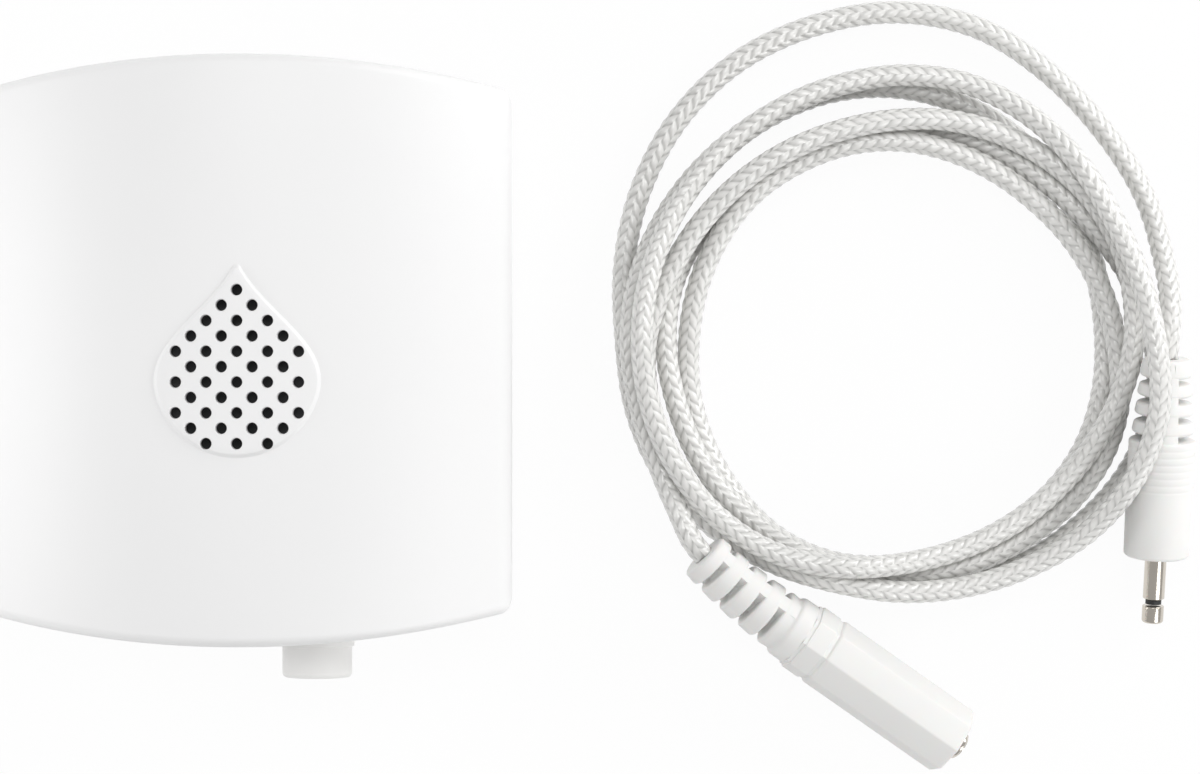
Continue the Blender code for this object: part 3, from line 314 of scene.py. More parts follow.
def build_cord():
    """One closed tube whose faces follow the slanted bundles of the braid."""
    curve = smooth_route()
    lengths = np.r_[0, np.cumsum(np.linalg.norm(np.diff(curve, axis=0), axis=1))]
    along, radius, angle = braid_grid(lengths[-1])

    def at(values):
        return np.stack([np.interp(along, lengths, values[:, k]) for k in range(3)], -1)

    side, up = (at(direction) for direction in cross_frames(curve))
    points = at(curve) + radius[..., None] * (np.cos(angle)[None, :, None] * side
                                              + np.sin(angle)[None, :, None] * up)
    points[..., 2] = np.maximum(points[..., 2], FLOOR_GAP)
    return make_cord_mesh(points * MM), curve[::PATH_STRIDE] * MM, lengths[-1] * MM


def make_cord_mesh(points):
    """The cord's mesh, with its columns and bundles numbered in a UV map."""
    rows, around, _ = points.shape
    index = np.arange(rows * around).reshape(rows, around)
    following = np.roll(index, -1, axis=1)
    faces = np.stack([index[:-1], following[:-1], following[1:], index[1:]], -1).reshape(-1, 4)
    ends = [list(index[0][::-1]), list(index[-1])]
    mesh = bpy.data.meshes.new("sensing_cord")
    mesh.from_pydata(points.reshape(-1, 3).tolist(), [], faces.tolist() + ends)
    mesh.polygons.foreach_set("use_smooth", [True] * len(faces) + [False, False])
    layer = mesh.uv_layers.new(name="braid")
    column = np.broadcast_to(np.arange(around), (rows - 1, around)) / COLUMN_POINTS
    row = np.broadcast_to(np.arange(rows - 1)[:, None], (rows - 1, around)) / PITCH_POINTS
    wide, tall = 1 / COLUMN_POINTS, 1 / PITCH_POINTS
    corners = np.stack([np.stack([column, row], -1), np.stack([column + wide, row], -1),
                        np.stack([column + wide, row + tall], -1),
                        np.stack([column, row + tall], -1)], 2).reshape(-1)
    corners = np.concatenate([corners, np.zeros(4 * around)])
    layer.data.foreach_set("uv", corners.astype(np.float32))
    mesh.update()
    cord = bpy.data.objects.new("sensing_cord", mesh)
    bpy.context.collection.objects.link(cord)
    return cord


# Fine pieces that stand for the plain solids, all in mm

def arc(centre, radius, start, end, steps):
    """Points of an arc between two angles in degrees."""
    points = []
    for i in range(steps + 1):
        angle = math.radians(start + (end - start) * i / steps)
        points.append((centre[0] + radius * math.cos(angle),
                       centre[1] + radius * math.sin(angle)))
    return points


def turned(profile, steps):
    """A solid turned about Z from (radius, height) points, axis to axis."""
    bm = bmesh.new()
    verts = [bm.verts.new((radius, 0, height)) for radius, height in profile]
    edges = [bm.edges.new(pair) for pair in zip(verts, verts[1:])]
    if profile[0][0] > 0:
        edges.append(bm.edges.new((verts[-1], verts[0])))
    bmesh.ops.spin(bm, geom=verts + edges, axis=(0, 0, 1), cent=(0, 0, 0),
                   angle=math.tau, steps=steps, use_merge=True)
    return bm


def lofted(rings, caps=True):
    """Faces from ring to ring, closed at both ends."""
    bm = bmesh.new()
    made = [[bm.verts.new(point) for point in ring] for ring in rings]
    count = len(made[0])
    for low, high in zip(made, made[1:]):
        for i in range(count):
            j = (i + 1) % count
            bm.faces.new((low[i], low[j], high[j], high[i]))
    if caps:
        bm.faces.new(made[0][::-1])
        bm.faces.new(made[-1])
    return bm


def placement(start, heading):
    """Placement whose local +Z runs from start in a plan heading with a dip."""
    turn = Matrix.Rotation(math.radians(heading[0]), 4, "Z")
    tip = Matrix.Rotation(math.radians(90 + heading[1]), 4, "Y")
    return Matrix.Translation(start) @ turn @ tip


def new_piece(name, bm, place=None, sharp=32):
    """An object from millimetre faces, smooth but for edges sharper than an angle."""
    bmesh.ops.remove_doubles(bm, verts=bm.verts, dist=1e-5)
    bmesh.ops.recalc_face_normals(bm, faces=bm.faces)
    bm.transform(Matrix.Scale(MM, 4) @ (place or Matrix()))
    mesh = bpy.data.meshes.new(name)
    bm.to_mesh(mesh)
    bm.free()
    mesh.shade_smooth()
    mesh.set_sharp_from_angle(angle=math.radians(sharp))
    piece = bpy.data.objects.new(name, mesh)
    bpy.context.collection.objects.link(piece)
    return piece


def shaped(piece, steps, sharp=32):
    """The piece after cutting or joining others, each (object, operation)."""
    for other, operation in steps:
        modifier = piece.modifiers.new(other.name, "BOOLEAN")
        modifier.operation = operation
        modifier.object = other
        modifier.solver = "EXACT"
    graph = bpy.context.evaluated_depsgraph_get()
    mesh = bpy.data.meshes.new_from_object(piece.evaluated_get(graph))
    piece.modifiers.clear()
    piece.data = mesh
    mesh.shade_smooth()
    mesh.set_sharp_from_angle(angle=math.radians(sharp))
    for other, _ in steps:
        bpy.data.objects.remove(other)
    return piece


def rounded(radius, height, ease, way, steps=6):
    """Profile points of a rounded edge, before (-1) or after (1) a groove."""
    points = []
    for i in range(steps + 1):
        angle = math.pi / 2 * i / steps
        points.append((radius - ease + ease * math.cos(angle),
                       height + way * ease * (1 - math.sin(angle))))
    return points if way < 0 else points[::-1]


# Alarm unit

def front_height(x):
    """Height of the curved front at a distance from its middle."""
    sag = CASE_DEPTH - SIDE_DEPTH
    radius = ((CASE_WIDTH / 2) ** 2 + sag ** 2) / (2 * sag)
    return CASE_DEPTH - radius + math.sqrt(radius ** 2 - x ** 2)


def case_outline(inset):
    """Outline with bowed ends and rounded corners, drawn in by an inset."""
    side = CASE_WIDTH / 2 - inset
    corner = max(CORNER_RADIUS - inset, 0.3)
    centre_y = CASE_HEIGHT / 2 - END_RADIUS
    corner_x = side - corner
    corner_y = centre_y + math.sqrt((END_RADIUS - inset - corner) ** 2 - corner_x ** 2)
    turn = math.degrees(math.atan2(corner_y - centre_y, corner_x))
    right = arc((corner_x, corner_y), corner, 0, turn, 8)
    top = arc((0, centre_y), END_RADIUS - inset, turn, 180 - turn, 72)
    upper = right + top[1:-1] + [(-x, y) for x, y in reversed(right)]
    return upper + [(x, -y) for x, y in reversed(upper)]


def case_solid(inset, bottom, fillet, drop):
    """Walls from a bottom up to a rounded rim, and a front some way below the real one."""
    levels = [(inset, None)]
    for i in range(9):
        angle = math.pi / 2 * i / 8
        levels.append((inset + fillet * (1 - math.cos(angle)),
                       drop + fillet * (1 - math.sin(angle))))
    rings = []
    for level_inset, below in levels:
        rings.append([(x, y, bottom if below is None else front_height(x) - below)
                      for x, y in case_outline(level_inset)])
    bm = lofted(rings, caps=False)
    bm.verts.ensure_lookup_table()
    count = len(rings[0])
    base = list(bm.verts)[:count]
    front = list(bm.verts)[-count:]
    bm.faces.new(base[::-1])
    for i in range(count // 2 - 1):
        bm.faces.new((front[i], front[i + 1], front[count - 2 - i], front[count - 1 - i]))
    return bm


def drop_outline():
    """Round below, with the sides drawn in to a narrow tip above."""
    lean = math.degrees(math.atan(DROP_TIP_LEAN))
    low = math.degrees(math.asin(DROP_SHOULDER / DROP_RADIUS))
    tip = arc((0, DROP_APEX - DROP_TIP_RADIUS), DROP_TIP_RADIUS, lean, 180 - lean, 10)
    bowl = arc((0, 0), DROP_RADIUS, 180 - low, 360 + low, 60)
    start = Vector(bowl[-1])
    end = Vector(tip[0])
    rise = Vector((-DROP_SHOULDER, start.x)).normalized() * DROP_SIDE_PULL
    fall = Vector((DROP_TIP_LEAN, -1)).normalized() * DROP_TIP_PULL
    side = interpolate_bezier(start, start + rise, end + fall, end, 30)[1:-1]
    left = [(-point.x, point.y) for point in reversed(side)]
    return bowl + [(point.x, point.y) for point in side] + tip + left


def drop_ring(share, rise):
    """The drop's outline drawn towards its middle, over the curved front."""
    return [(x * share, DROP_Y + y * share, front_height(x * share) + rise)
            for x, y in drop_outline()]


def drop_pad():
    """Raised pad with a soft edge."""
    rings = [drop_ring(1, -DROP_ROOT)]
    for i in range(9):
        step = i / 8
        rise = (DROP_RISE + DROP_FOOT) * step * step * (3 - 2 * step) - DROP_FOOT
        rings.append(drop_ring(1 - DROP_EDGE * step / DROP_RADIUS, rise))
    share = 1 - DROP_EDGE / DROP_RADIUS
    rings += [drop_ring(share - DROP_RING_STEP * i, DROP_RISE) for i in range(1, 14)]
    return lofted(rings)


def sound_holes():
    """One cutter for all the round holes, each with a slightly eased mouth."""
    bm = bmesh.new()
    for row, count in enumerate(HOLE_ROWS):
        for i in range(count):
            x = HOLE_PITCH * (i - (count - 1) / 2)
            y = DROP_Y + FIRST_ROW - ROW_PITCH * row
            top = front_height(x) + DROP_RISE
            profile = [(0, top - HOLE_DEPTH), (HOLE_RADIUS, top - HOLE_DEPTH)]
            profile += [(HOLE_RADIUS + wider, top + rise) for wider, rise in HOLE_MOUTH]
            hole = turned(profile + [(0, profile[-1][1])], 28)
            bmesh.ops.translate(hole, verts=hole.verts, vec=(x, y, 0))
            single = bpy.data.meshes.new("hole")
            hole.to_mesh(single)
            hole.free()
            bm.from_mesh(single)
            bpy.data.meshes.remove(single)
    return bm


def build_front():
    """Front moulding: curved front, raised drop with its holes, hollow behind."""
    shell = new_piece("front_moulding", case_solid(0, 0, RIM_FILLET, 0))
    hollow = new_piece("front_hollow", case_solid(CASE_WALL, -1, 0.3, CASE_WALL))
    pad = new_piece("front_drop", drop_pad())
    holes = new_piece("front_holes", sound_holes())
    port_y = CASE_HEIGHT / 2
    port = new_piece("front_port", turned([(0, -4), (PORT_HOLE, -4), (PORT_HOLE, 4), (0, 4)], 48),
                     Matrix.Translation((PORT_X, -port_y, PORT_Z))
                     @ Matrix.Rotation(math.radians(90), 4, "X"))
    return shaped(shell, [(hollow, "DIFFERENCE"), (pad, "UNION"), (port, "DIFFERENCE"),
                          (holes, "DIFFERENCE")], 25)


def build_collar():
    """Round collar that the cable plugs into, with a flange shaped to the wall."""
    place = (Matrix.Translation((PORT_X, COLLAR_Y, PORT_Z))
             @ Matrix.Rotation(math.radians(90), 4, "X"))
    profile = [(BORE_RADIUS, NECK_END), (NECK_RADIUS, NECK_END), (NECK_RADIUS, 0),
               (COLLAR_RADIUS, 0)]
    profile += rounded(COLLAR_RADIUS, COLLAR_LENGTH, COLLAR_ROUND, -1)
    profile += [(radius, COLLAR_LENGTH - depth) for radius, depth in COLLAR_MOUTH]
    collar = new_piece("collar", turned(profile, BODY_STEPS), place)
    inner, outer = FLANGE_RADII
    low, high = FLANGE_SPAN
    ring = [(inner, low), (outer, low)] + rounded(outer, high, FLANGE_ROUND, -1)
    ring += [(inner, high)]
    flange = new_piece("collar_flange", turned(ring, BODY_STEPS), place)
    space = new_piece("case_space",
                      case_solid(-WALL_CLEARANCE, -1, RIM_FILLET, -WALL_CLEARANCE))
    shaped(flange, [(space, "DIFFERENCE")])
    return shaped(collar, [(flange, "UNION")])


# Plug and socket

def relief_length(ribs):
    """Length of a strain relief from its first rib, pitch and last rib."""
    return ribs[0] + ribs[1] * (RIB_GAPS - 1) + RIB_GAP_WIDTH + ribs[2]


def relief_profile(radii, ribs):
    """Half outline of a ribbed strain relief, from the cord's end on."""
    length = relief_length(ribs)

    def radius(z):
        return radii[0] + (radii[1] - radii[0]) * z / length

    profile = [(0, 0)] + rounded(radii[0], 0, RIB_EASE, 1)
    for i in range(RIB_GAPS):
        start = ribs[0] + ribs[1] * i
        end = start + RIB_GAP_WIDTH
        profile += rounded(radius(start), start, RIB_EASE, -1)
        profile += [(RIB_CORE + RIB_ROOT, start), (RIB_CORE, start + RIB_ROOT),
                    (RIB_CORE, end - RIB_ROOT), (RIB_CORE + RIB_ROOT, end)]
        if end < length:
            profile += rounded(radius(end), end, RIB_EASE, 1)
    return profile


def relief_web(radii, ribs, lean):
    """A bar through the axis that joins the ribs on two sides, flush with them."""
    length = relief_length(ribs)
    turns = [side * 180 + WEB_SPREAD * (i / 8 - 0.5) + lean
             for side in (0, 1) for i in range(9)]
    rings = []
    for i in range(33):
        z = RIB_EASE + (length + RIB_GAP_WIDTH - RIB_EASE) * i / 32
        reach = radii[0] + (radii[1] - radii[0]) * min(z / length, 1) - 0.05
        rings.append([(-reach * math.sin(math.radians(turn)),
                       reach * math.cos(math.radians(turn)), z) for turn in turns])
    return lofted(rings)


def bent(bm, length, degrees):
    """Bend what lies before a length to the left, along a circle."""
    curve = math.radians(degrees) / length
    for vert in bm.verts:
        back = length - vert.co.z
        if back > 0:
            turn = curve * back
            x, y = vert.co.x, vert.co.y
            vert.co = (x, (1 - math.cos(turn)) / curve + y * math.cos(turn),
                       length - math.sin(turn) / curve + y * math.sin(turn))
    bmesh.ops.triangulate(bm, faces=bm.faces)
    return bm


def build_pin(place, low):
    """Sleeve and tip of the jack pin, on either side of its black ring."""
    sleeve_end = low + PIN_SLEEVE
    tip_start = sleeve_end + PIECE_GAP + PIN_RING + PIECE_GAP
    tip_end = tip_start + PIN_TIP
    sleeve = [(0, low), (PIN_RADIUS, low)] + rounded(PIN_RADIUS, sleeve_end, SLEEVE_ROUND, -1)
    sleeve += [(0, sleeve_end)]
    tip = [(0, tip_start)] + rounded(PIN_RADIUS, tip_start, TIP_ROUNDS[0], 1)
    tip += rounded(PIN_RADIUS, tip_end, TIP_ROUNDS[1], -1) + [(0, tip_end)]
    return (new_piece("pin_sleeve", turned(sleeve, PIN_STEPS), place),
            new_piece("pin_tip", turned(tip, PIN_STEPS), place))


def build_plug():
    """Jack plug: ribbed strain relief, lightly grooved grip and the parts of the pin."""
    place = placement(PLUG_END, PLUG_HEADING)
    relief_end = relief_length(PLUG_RIBS)
    body_end = relief_end + PLUG_LENGTH
    profile = relief_profile(PLUG_RELIEF_RADII, PLUG_RIBS)
    profile += rounded(PLUG_RADIUS, relief_end, PLUG_ROUNDS[0], 1)
    for i in range(GRIP_GROOVES):
        middle = relief_end + GRIP_START + GRIP_PITCH * i
        for step in range(-4, 5):
            depth = GRIP_DEPTH * (1 + math.cos(math.pi * step / 4)) / 2
            profile.append((PLUG_RADIUS - depth, middle + GRIP_PITCH * GRIP_WIDTH * step / 4))
    profile += rounded(PLUG_RADIUS - PLUG_TAPER, body_end, PLUG_ROUNDS[1], -1)
    profile += [(0, body_end)]
    body = new_piece("plug_moulding", turned(profile, BODY_STEPS), place)
    web = new_piece("plug_web", relief_web(PLUG_RELIEF_RADII, PLUG_RIBS, PLUG_WEB_LEAN), place)
    shaped(body, [(web, "UNION")])
    return (body, *build_pin(place, body_end + PIECE_GAP))


def eight_sided(flats, start, end, ease):
    """An eight-sided bar with rounded edges."""
    corner = flats / 2 / math.cos(math.pi / 8)
    outline = arc((0, 0), corner, 22.5 + SOCKET_ROLL, 337.5 + SOCKET_ROLL, 7)
    bm = lofted([[(x, y, z) for x, y in outline] for z in (start, end)])
    ends = [e for e in bm.edges if abs(e.verts[0].co.z - e.verts[1].co.z) < 0.01]
    sides = [e for e in bm.edges if e not in ends]
    bmesh.ops.bevel(bm, geom=sides, offset=min(ease, 0.25), segments=3, profile=0.5,
                    affect="EDGES")
    ends = [e for e in bm.edges if abs(e.verts[0].co.z - e.verts[1].co.z) < 0.01
            and len(e.link_faces) == 2 and e.calc_face_angle(0) > 1]
    bmesh.ops.bevel(bm, geom=ends, offset=ease, segments=6, profile=0.5, affect="EDGES")
    return bm


def build_socket():
    """Extension socket: bent strain relief, round band, collar and eight-sided body."""
    place = placement(SOCKET_JOINT, SOCKET_BODY_HEADING)
    place = place @ Matrix.Translation((0, 0, -relief_length(SOCKET_RIBS)))
    relief_end = relief_length(SOCKET_RIBS)
    band_end = relief_end + SOCKET_BAND[0]
    collar_end = band_end + SOCKET_COLLAR[0]
    body_start = collar_end + SOCKET_NECK[0]
    end = body_start + SOCKET_LENGTH
    profile = relief_profile(SOCKET_RELIEF_RADII, SOCKET_RIBS)
    profile += [(SOCKET_RELIEF_RADII[1] - 0.2, relief_end)]
    profile += rounded(SOCKET_BAND[1], relief_end + 0.2, 0.9, 1)[2:]
    profile += rounded(SOCKET_BAND[1], band_end - SOCKET_NECK[0], 0.25, -1)
    profile += [(0, band_end - SOCKET_NECK[0])]
    body = new_piece("socket_moulding",
                     eight_sided(SOCKET_FLATS, body_start, end, SOCKET_ROUND), place)
    others = [
        ("socket_neck", eight_sided(SOCKET_NECK[1], band_end - 0.6, body_start + 1, 0.05)),
        ("socket_collar", eight_sided(SOCKET_COLLAR[1], band_end, collar_end, 0.22)),
        ("socket_grip", bent(turned(profile, BODY_STEPS), relief_end, SOCKET_BEND)),
        ("socket_web", bent(relief_web(SOCKET_RELIEF_RADII, SOCKET_RIBS, SOCKET_WEB_LEAN),
                            relief_end, SOCKET_BEND))]
    steps = [(new_piece(name, bm, place), "UNION") for name, bm in others]
    mouth, depth = SOCKET_MOUTH
    bore = turned([(0, end - depth), (mouth, end - depth), (mouth, end + 1), (0, end + 1)],
                  PIN_STEPS)
    steps.append((new_piece("socket_mouth", bore, place), "DIFFERENCE"))
    shaped(body, steps)
    return body, build_bush(place, end + BUSH_RISE)


def build_bush(place, high):
    """Metal bush round the socket's bore, with a rounded rim."""
    low = high - BUSH_LENGTH
    profile = [(BORE_RADIUS, low), (BUSH_RADIUS, low)] + rounded(BUSH_RADIUS, high, 0.4, -1)
    profile += rounded(BORE_RADIUS, high, -0.15, -1)[::-1]
    return new_piece("socket_rim", turned(profile, PIN_STEPS), place)


# Materials

class Nodes:
    """A material's node tree with short calls to add to it."""

    def __init__(self, name):
        self.material = bpy.data.materials.new(name)
        self.material.use_nodes = True
        self.tree = self.material.node_tree
        self.shader = next(n for n in self.tree.nodes if n.type == "BSDF_PRINCIPLED")

    def add(self, kind, values=(), **settings):
        """A new node with values or links for its inputs, and its settings."""
        node = self.tree.nodes.new(kind)
        for key, value in settings.items():
            setattr(node, key, value)
        for key, value in dict(values).items():
            self.join(value, node.inputs[key])
        return node

    def join(self, value, socket):
        """Link an output to a socket, or set the socket to a value."""
        if isinstance(value, bpy.types.NodeSocket):
            self.tree.links.new(value, socket)
        else:
            socket.default_value = value

    def maths(self, operation, *values):
        """The result of one sum on values or outputs."""
        node = self.add("ShaderNodeMath", operation=operation)
        for value, socket in zip(values, node.inputs):
            self.join(value, socket)
        return node.outputs[0]

    def noise(self, scale, detail=3.0, roughness=0.5, vector=None):
        """Cloudy values from 0 to 1, at so many features a metre."""
        values = {"Scale": scale, "Detail": detail, "Roughness": roughness}
        values["Vector"] = vector or self.place()
        return self.add("ShaderNodeTexNoise", values).outputs["Fac"]

    def place(self):
        """Where a point lies on its piece, in metres."""
        return self.add("ShaderNodeTexCoord").outputs["Object"]

    def span(self, value, low, high):
        """A 0 to 1 value spread from low to high."""
        node = self.add("ShaderNodeMapRange", {"Value": value, "To Min": low, "To Max": high})
        return node.outputs["Result"]

    def blend(self, value, first, second):
        """A colour between two others."""
        node = self.add("ShaderNodeMix", data_type="RGBA")
        self.join(value, node.inputs[0])
        self.join((*first, 1) if isinstance(first, tuple) else first, node.inputs[6])
        self.join((*second, 1) if isinstance(second, tuple) else second, node.inputs[7])
        return node.outputs[2]

    def bump(self, height, strength, distance):
        """Fine relief on the surface."""
        node = self.add("ShaderNodeBump", {"Height": height, "Strength": strength,
                                           "Distance": distance})
        self.join(node.outputs[0], self.shader.inputs["Normal"])

    def set(self, **values):
        """Values or links for the shader's own sockets."""
        names = {"colour": "Base Color", "metal": "Metallic", "rough": "Roughness",
                 "specular": "Specular IOR Level", "coat": "Coat Weight",
                 "coat_rough": "Coat Roughness", "soft": "Subsurface Weight",
                 "soft_scale": "Subsurface Scale"}
        for key, value in values.items():
            value = (*value, 1) if isinstance(value, tuple) else value
            self.join(value, self.shader.inputs[names[key]])


def moulded(name, low, high, rough):
    """Moulded plastic with a fine spark-eroded grain and faint flow marks."""
    n = Nodes(name)
    flow = n.noise(28, 4, 0.55)
    fine = n.noise(1100, 2, 0.6)
    n.set(colour=n.blend(flow, low, high), rough=n.span(fine, rough - 0.05, rough + 0.07))
    n.bump(fine, 0.35, 0.000012)
    return n.material


def soft_moulding(name):
    """Soft white moulding of the plug and the socket."""
    n = Nodes(name)
    cloud = n.noise(60, 3, 0.5)
    fine = n.noise(1700, 2, 0.5)
    n.set(colour=n.blend(cloud, (0.79, 0.787, 0.774), (0.83, 0.827, 0.81)),
          rough=n.span(fine, 0.50, 0.60), soft=0.08, soft_scale=0.001)
    n.bump(fine, 0.25, 0.00001)
    return n.material


def braid(name):
    """Braided yarn: satin bundles of fine filaments, with painted shade in the grooves and pits
    between them.
    """
    n = Nodes(name)
    uv = n.add("ShaderNodeUVMap", uv_map="braid").outputs[0]
    parts = n.add("ShaderNodeSeparateXYZ", {"Vector": uv}).outputs
    across = n.maths("FRACT", parts[0])
    odd = n.maths("MODULO", n.maths("FLOOR", parts[0]), 2.0)
    along = n.maths("FRACT", n.maths("ADD", parts[1], n.maths("MULTIPLY", odd, 0.5)))
    # Painted shade: the colour darkens from each bundle's crown into the grooves and the pits
    # between bundles, more towards one end of each bundle.
    crown = n.maths("SINE", n.maths("MULTIPLY", n.maths("POWER", along, 0.75), math.pi))
    edge = n.maths("SINE", n.maths("MULTIPLY", across, math.pi))
    low = n.maths("SUBTRACT", 1.0, n.maths("POWER", crown, 0.7))
    side = n.maths("SUBTRACT", 1.0, n.maths("MULTIPLY", edge, 0.55))
    clear_of_painted_shade = n.maths("SUBTRACT", 1.0, n.maths("MULTIPLY", low, side))
    filament = n.maths("SINE", n.maths("MULTIPLY", along, math.tau * 6))
    fuzz = n.noise(5200, 2, 0.6)
    yarn = n.maths("ADD", n.maths("MULTIPLY", filament, 0.25), n.maths("MULTIPLY", fuzz, 0.5))
    # Random tone from bundle to bundle, widened in part as painted highlight and shade.
    tone_and_painted_light = n.noise(420, 2, 0.5)
    crown_colour = n.blend(tone_and_painted_light, (0.685, 0.68, 0.66), (0.905, 0.90, 0.878))
    # The dark grey is the colour of the painted shade.
    colour = n.blend(clear_of_painted_shade, (0.36, 0.357, 0.342), crown_colour)
    n.set(colour=colour, rough=n.span(fuzz, 0.24, 0.38), coat=1.0, coat_rough=0.16)
    n.bump(yarn, 0.35, 0.00004)
    return n.material


def metal(name, colour, rough, brushed=(1, 1, 1), fine=2200, depth=0.000008):
    """Metal with fine drawn or turned lines, stretched where brushed is small."""
    n = Nodes(name)
    stretch = n.add("ShaderNodeVectorMath", operation="MULTIPLY")
    n.join(n.place(), stretch.inputs[0])
    stretch.inputs[1].default_value = brushed
    lines = n.noise(fine, 3, 0.6, stretch.outputs[0])
    worn = n.noise(160, 3, 0.5)
    dark = tuple(c * 0.86 for c in colour)
    n.set(colour=n.blend(worn, dark, colour), metal=1.0,
          rough=n.span(lines, rough - 0.05, rough + 0.12))
    n.bump(lines, 0.4, depth)
    return n.material


def dark_mesh(name):
    """Fine woven dust mesh behind the sound holes."""
    n = Nodes(name)
    parts = n.add("ShaderNodeSeparateXYZ", {"Vector": n.place()}).outputs
    weave = [n.maths("SINE", n.maths("MULTIPLY", parts[i], math.tau / 0.00045))
             for i in (0, 1)]
    crossing = n.maths("MULTIPLY", weave[0], weave[1])
    n.set(colour=n.blend(n.span(crossing, 0.0, 1.0), (0.08, 0.08, 0.085),
                         (0.15, 0.15, 0.155)), rough=0.6)
    n.bump(crossing, 0.4, 0.00005)
    return n.material


def circuit_green(name):
    """Green lacquer over copper tracks."""
    n = Nodes(name)
    parts = n.add("ShaderNodeSeparateXYZ", {"Vector": n.place()}).outputs
    bend = n.maths("MULTIPLY", n.noise(90, 1, 0.3), 0.004)
    row = n.maths("SINE", n.maths("MULTIPLY", n.maths("ADD", parts[1], bend),
                                  math.tau / 0.0016))
    track = n.add("ShaderNodeMapRange", {"Value": row, "From Min": 0.5, "From Max": 0.65})
    n.set(colour=n.blend(track.outputs[0], (0.012, 0.13, 0.05), (0.03, 0.24, 0.09)),
          rough=n.span(n.noise(900), 0.25, 0.38), coat=0.3)
    n.bump(track.outputs[0], 0.3, 0.00003)
    return n.material


def cell_wrap(name):
    """Printed shrink wrap of a cell, plain grey-blue with a lighter end."""
    n = Nodes(name)
    parts = n.add("ShaderNodeSeparateXYZ", {"Vector": n.place()}).outputs
    band = n.add("ShaderNodeMapRange", {"Value": parts[0], "From Min": 0.0142,
                                        "From Max": 0.0144})
    shade = n.blend(n.noise(70), (0.035, 0.05, 0.075), (0.05, 0.068, 0.098))
    n.set(colour=n.blend(band.outputs[0], shade, (0.55, 0.56, 0.57)),
          rough=n.span(n.noise(700), 0.22, 0.34), coat=0.4)
    return n.material


def set_finish(piece, finish, node):
    """A new piece gets its finish and stands for a node."""
    piece.data.materials.clear()
    piece.data.materials.append(finish)
    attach(piece, "root")
    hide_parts(node)


def dress_fine(case, nickel):
    """Each fine piece gets its finish and stands for its solid."""
    # The collar's warm tone is its own; its lightness, above the case's, is partly painted light
    # that makes up for the shade of the case's wall.
    collar = moulded("collar_white", (0.905, 0.898, 0.883), (0.925, 0.918, 0.903), 0.45)
    moulding = soft_moulding("soft_moulding")
    turned_pin = metal("turned_pin", (0.70, 0.65, 0.58), 0.14, (0.02, 1, 0.02), 5200, 0.00004)
    plug, sleeve, tip = build_plug()
    socket, rim = build_socket()
    for piece, finish, node, slot in (
            (build_front(), case, "front_shell", "white_case"),
            (build_collar(), collar, "port_collar", "warm_collar"),
            (plug, moulding, "plug_body", "white_moulding"),
            (sleeve, turned_pin, "plug_sleeve", "nickel"),
            (tip, turned_pin, "plug_tip", "nickel"),
            (socket, moulding, "socket_body", "white_moulding"),
            (rim, nickel, "socket_bush", "nickel")):
        set_finish(piece, finish, node)


def dress_frame(nodes, case, nickel):
    """Each piece of the frame that stays gets its finish, steel where none is named."""
    black = moulded("black_moulding", (0.014, 0.014, 0.015), (0.024, 0.024, 0.025), 0.5)
    steel = metal("spring_steel", (0.55, 0.55, 0.54), 0.28, (1, 0.2, 1))
    can = metal("tinned_can", (0.62, 0.62, 0.62), 0.34, (0.2, 1, 1))
    wrap = cell_wrap("cell_wrap")
    finishes = {"rear_cover": case, "battery_door": case, "socket_contact": nickel,
                "plug_insulator": black, "siren": black, "processor": black,
                "jack_socket": black, "radio_module": can, "capacitor": can,
                "battery_cell_1": wrap, "battery_cell_2": wrap,
                "siren_mesh": dark_mesh("siren_mesh_weave"),
                "circuit_board": circuit_green("circuit_green")}
    for name, piece in nodes.items():
        for slot in piece.material_slots:
            slot.material = finishes.get(name, steel)


# Stage

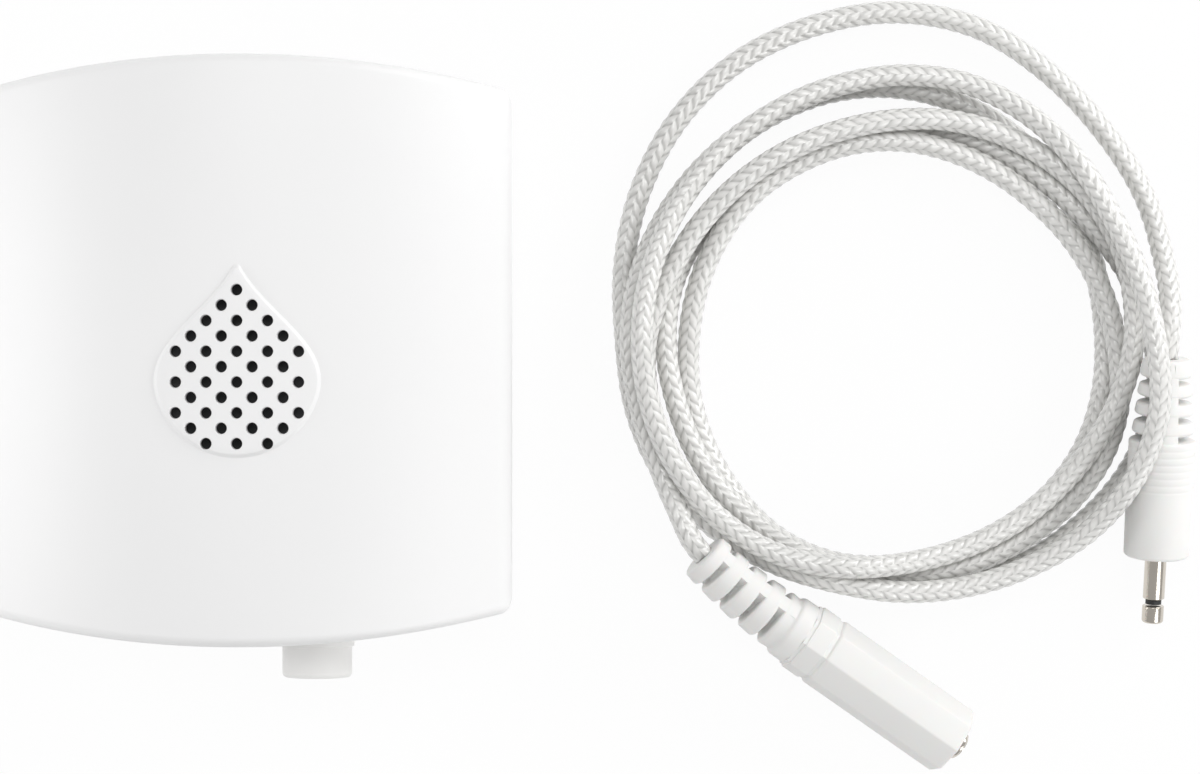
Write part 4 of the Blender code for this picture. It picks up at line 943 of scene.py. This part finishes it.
def build_floor():
    """Plain white floor, seen near white and still taking the shadow."""
    bm = bmesh.new()
    bmesh.ops.create_grid(bm, x_segments=1, y_segments=1, size=FLOOR_REACH)
    bmesh.ops.translate(bm, verts=bm.verts, vec=(0, 0, FLOOR_LEVEL))
    mesh = bpy.data.meshes.new("floor")
    bm.to_mesh(mesh)
    bm.free()
    floor = bpy.data.objects.new("floor", mesh)
    bpy.context.collection.objects.link(floor)
    n = Nodes("floor_white")
    n.set(colour=(0.9, 0.9, 0.9), rough=1.0, specular=0.0)
    glow = n.add("ShaderNodeEmission", {"Strength": 1.0})
    path = n.add("ShaderNodeLightPath").outputs
    seen = n.maths("MAXIMUM", path["Is Camera Ray"],
                   n.maths("MAXIMUM", path["Is Glossy Ray"], path["Is Transmission Ray"]))
    share = n.maths("MULTIPLY", seen, FLOOR_GLOW)
    mix = n.add("ShaderNodeMixShader")
    n.join(share, mix.inputs[0])
    n.join(n.shader.outputs[0], mix.inputs[1])
    n.join(glow.outputs[0], mix.inputs[2])
    output = next(x for x in n.tree.nodes if x.type == "OUTPUT_MATERIAL")
    n.join(mix.outputs[0], output.inputs["Surface"])
    mesh.materials.append(n.material)


def add_light(name, place, aim, size, power):
    """A round area lamp that points from its place at its aim."""
    data = bpy.data.lights.new(name, "AREA")
    data.shape = "DISK"
    data.size = size
    data.energy = power
    lamp = bpy.data.objects.new(name, data)
    lamp.location = place
    lamp.rotation_euler = (Vector(aim) - Vector(place)).to_track_quat("-Z", "Y").to_euler()
    bpy.context.collection.objects.link(lamp)


def set_lights():
    """Even white light all round and the lamps."""
    world = bpy.data.worlds.new("studio")
    world.use_nodes = True
    background = next(n for n in world.node_tree.nodes if n.type == "BACKGROUND")
    background.inputs["Color"].default_value = (1, 1, 1, 1)
    background.inputs["Strength"].default_value = WORLD_LIGHT
    bpy.context.scene.world = world
    for name, (place, aim, size, power) in LAMPS.items():
        add_light(name, place, aim, size, power)


def declare_cord(cord):
    """The cord gets its finish and stands for its solids."""
    cord.data.materials.append(braid("white_braid"))
    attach(cord, "root")
    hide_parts("cable_coil", "cable_over_plug", "cable_under_plug",
                "cable_to_plug", "cable_to_socket")


def main():
    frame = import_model()
    set_camera()
    cord, path, total = build_cord()
    case = moulded("case_white", (0.847, 0.846, 0.848), (0.877, 0.875, 0.874), 0.42)
    nickel = metal("nickel_plate", (0.72, 0.68, 0.62), 0.12)
    dress_fine(case, nickel)
    dress_frame(frame["nodes"], case, nickel)
    declare_cord(cord)
    build_floor()
    set_lights()
    bpy.context.scene.view_settings.view_transform = "Standard"


main()
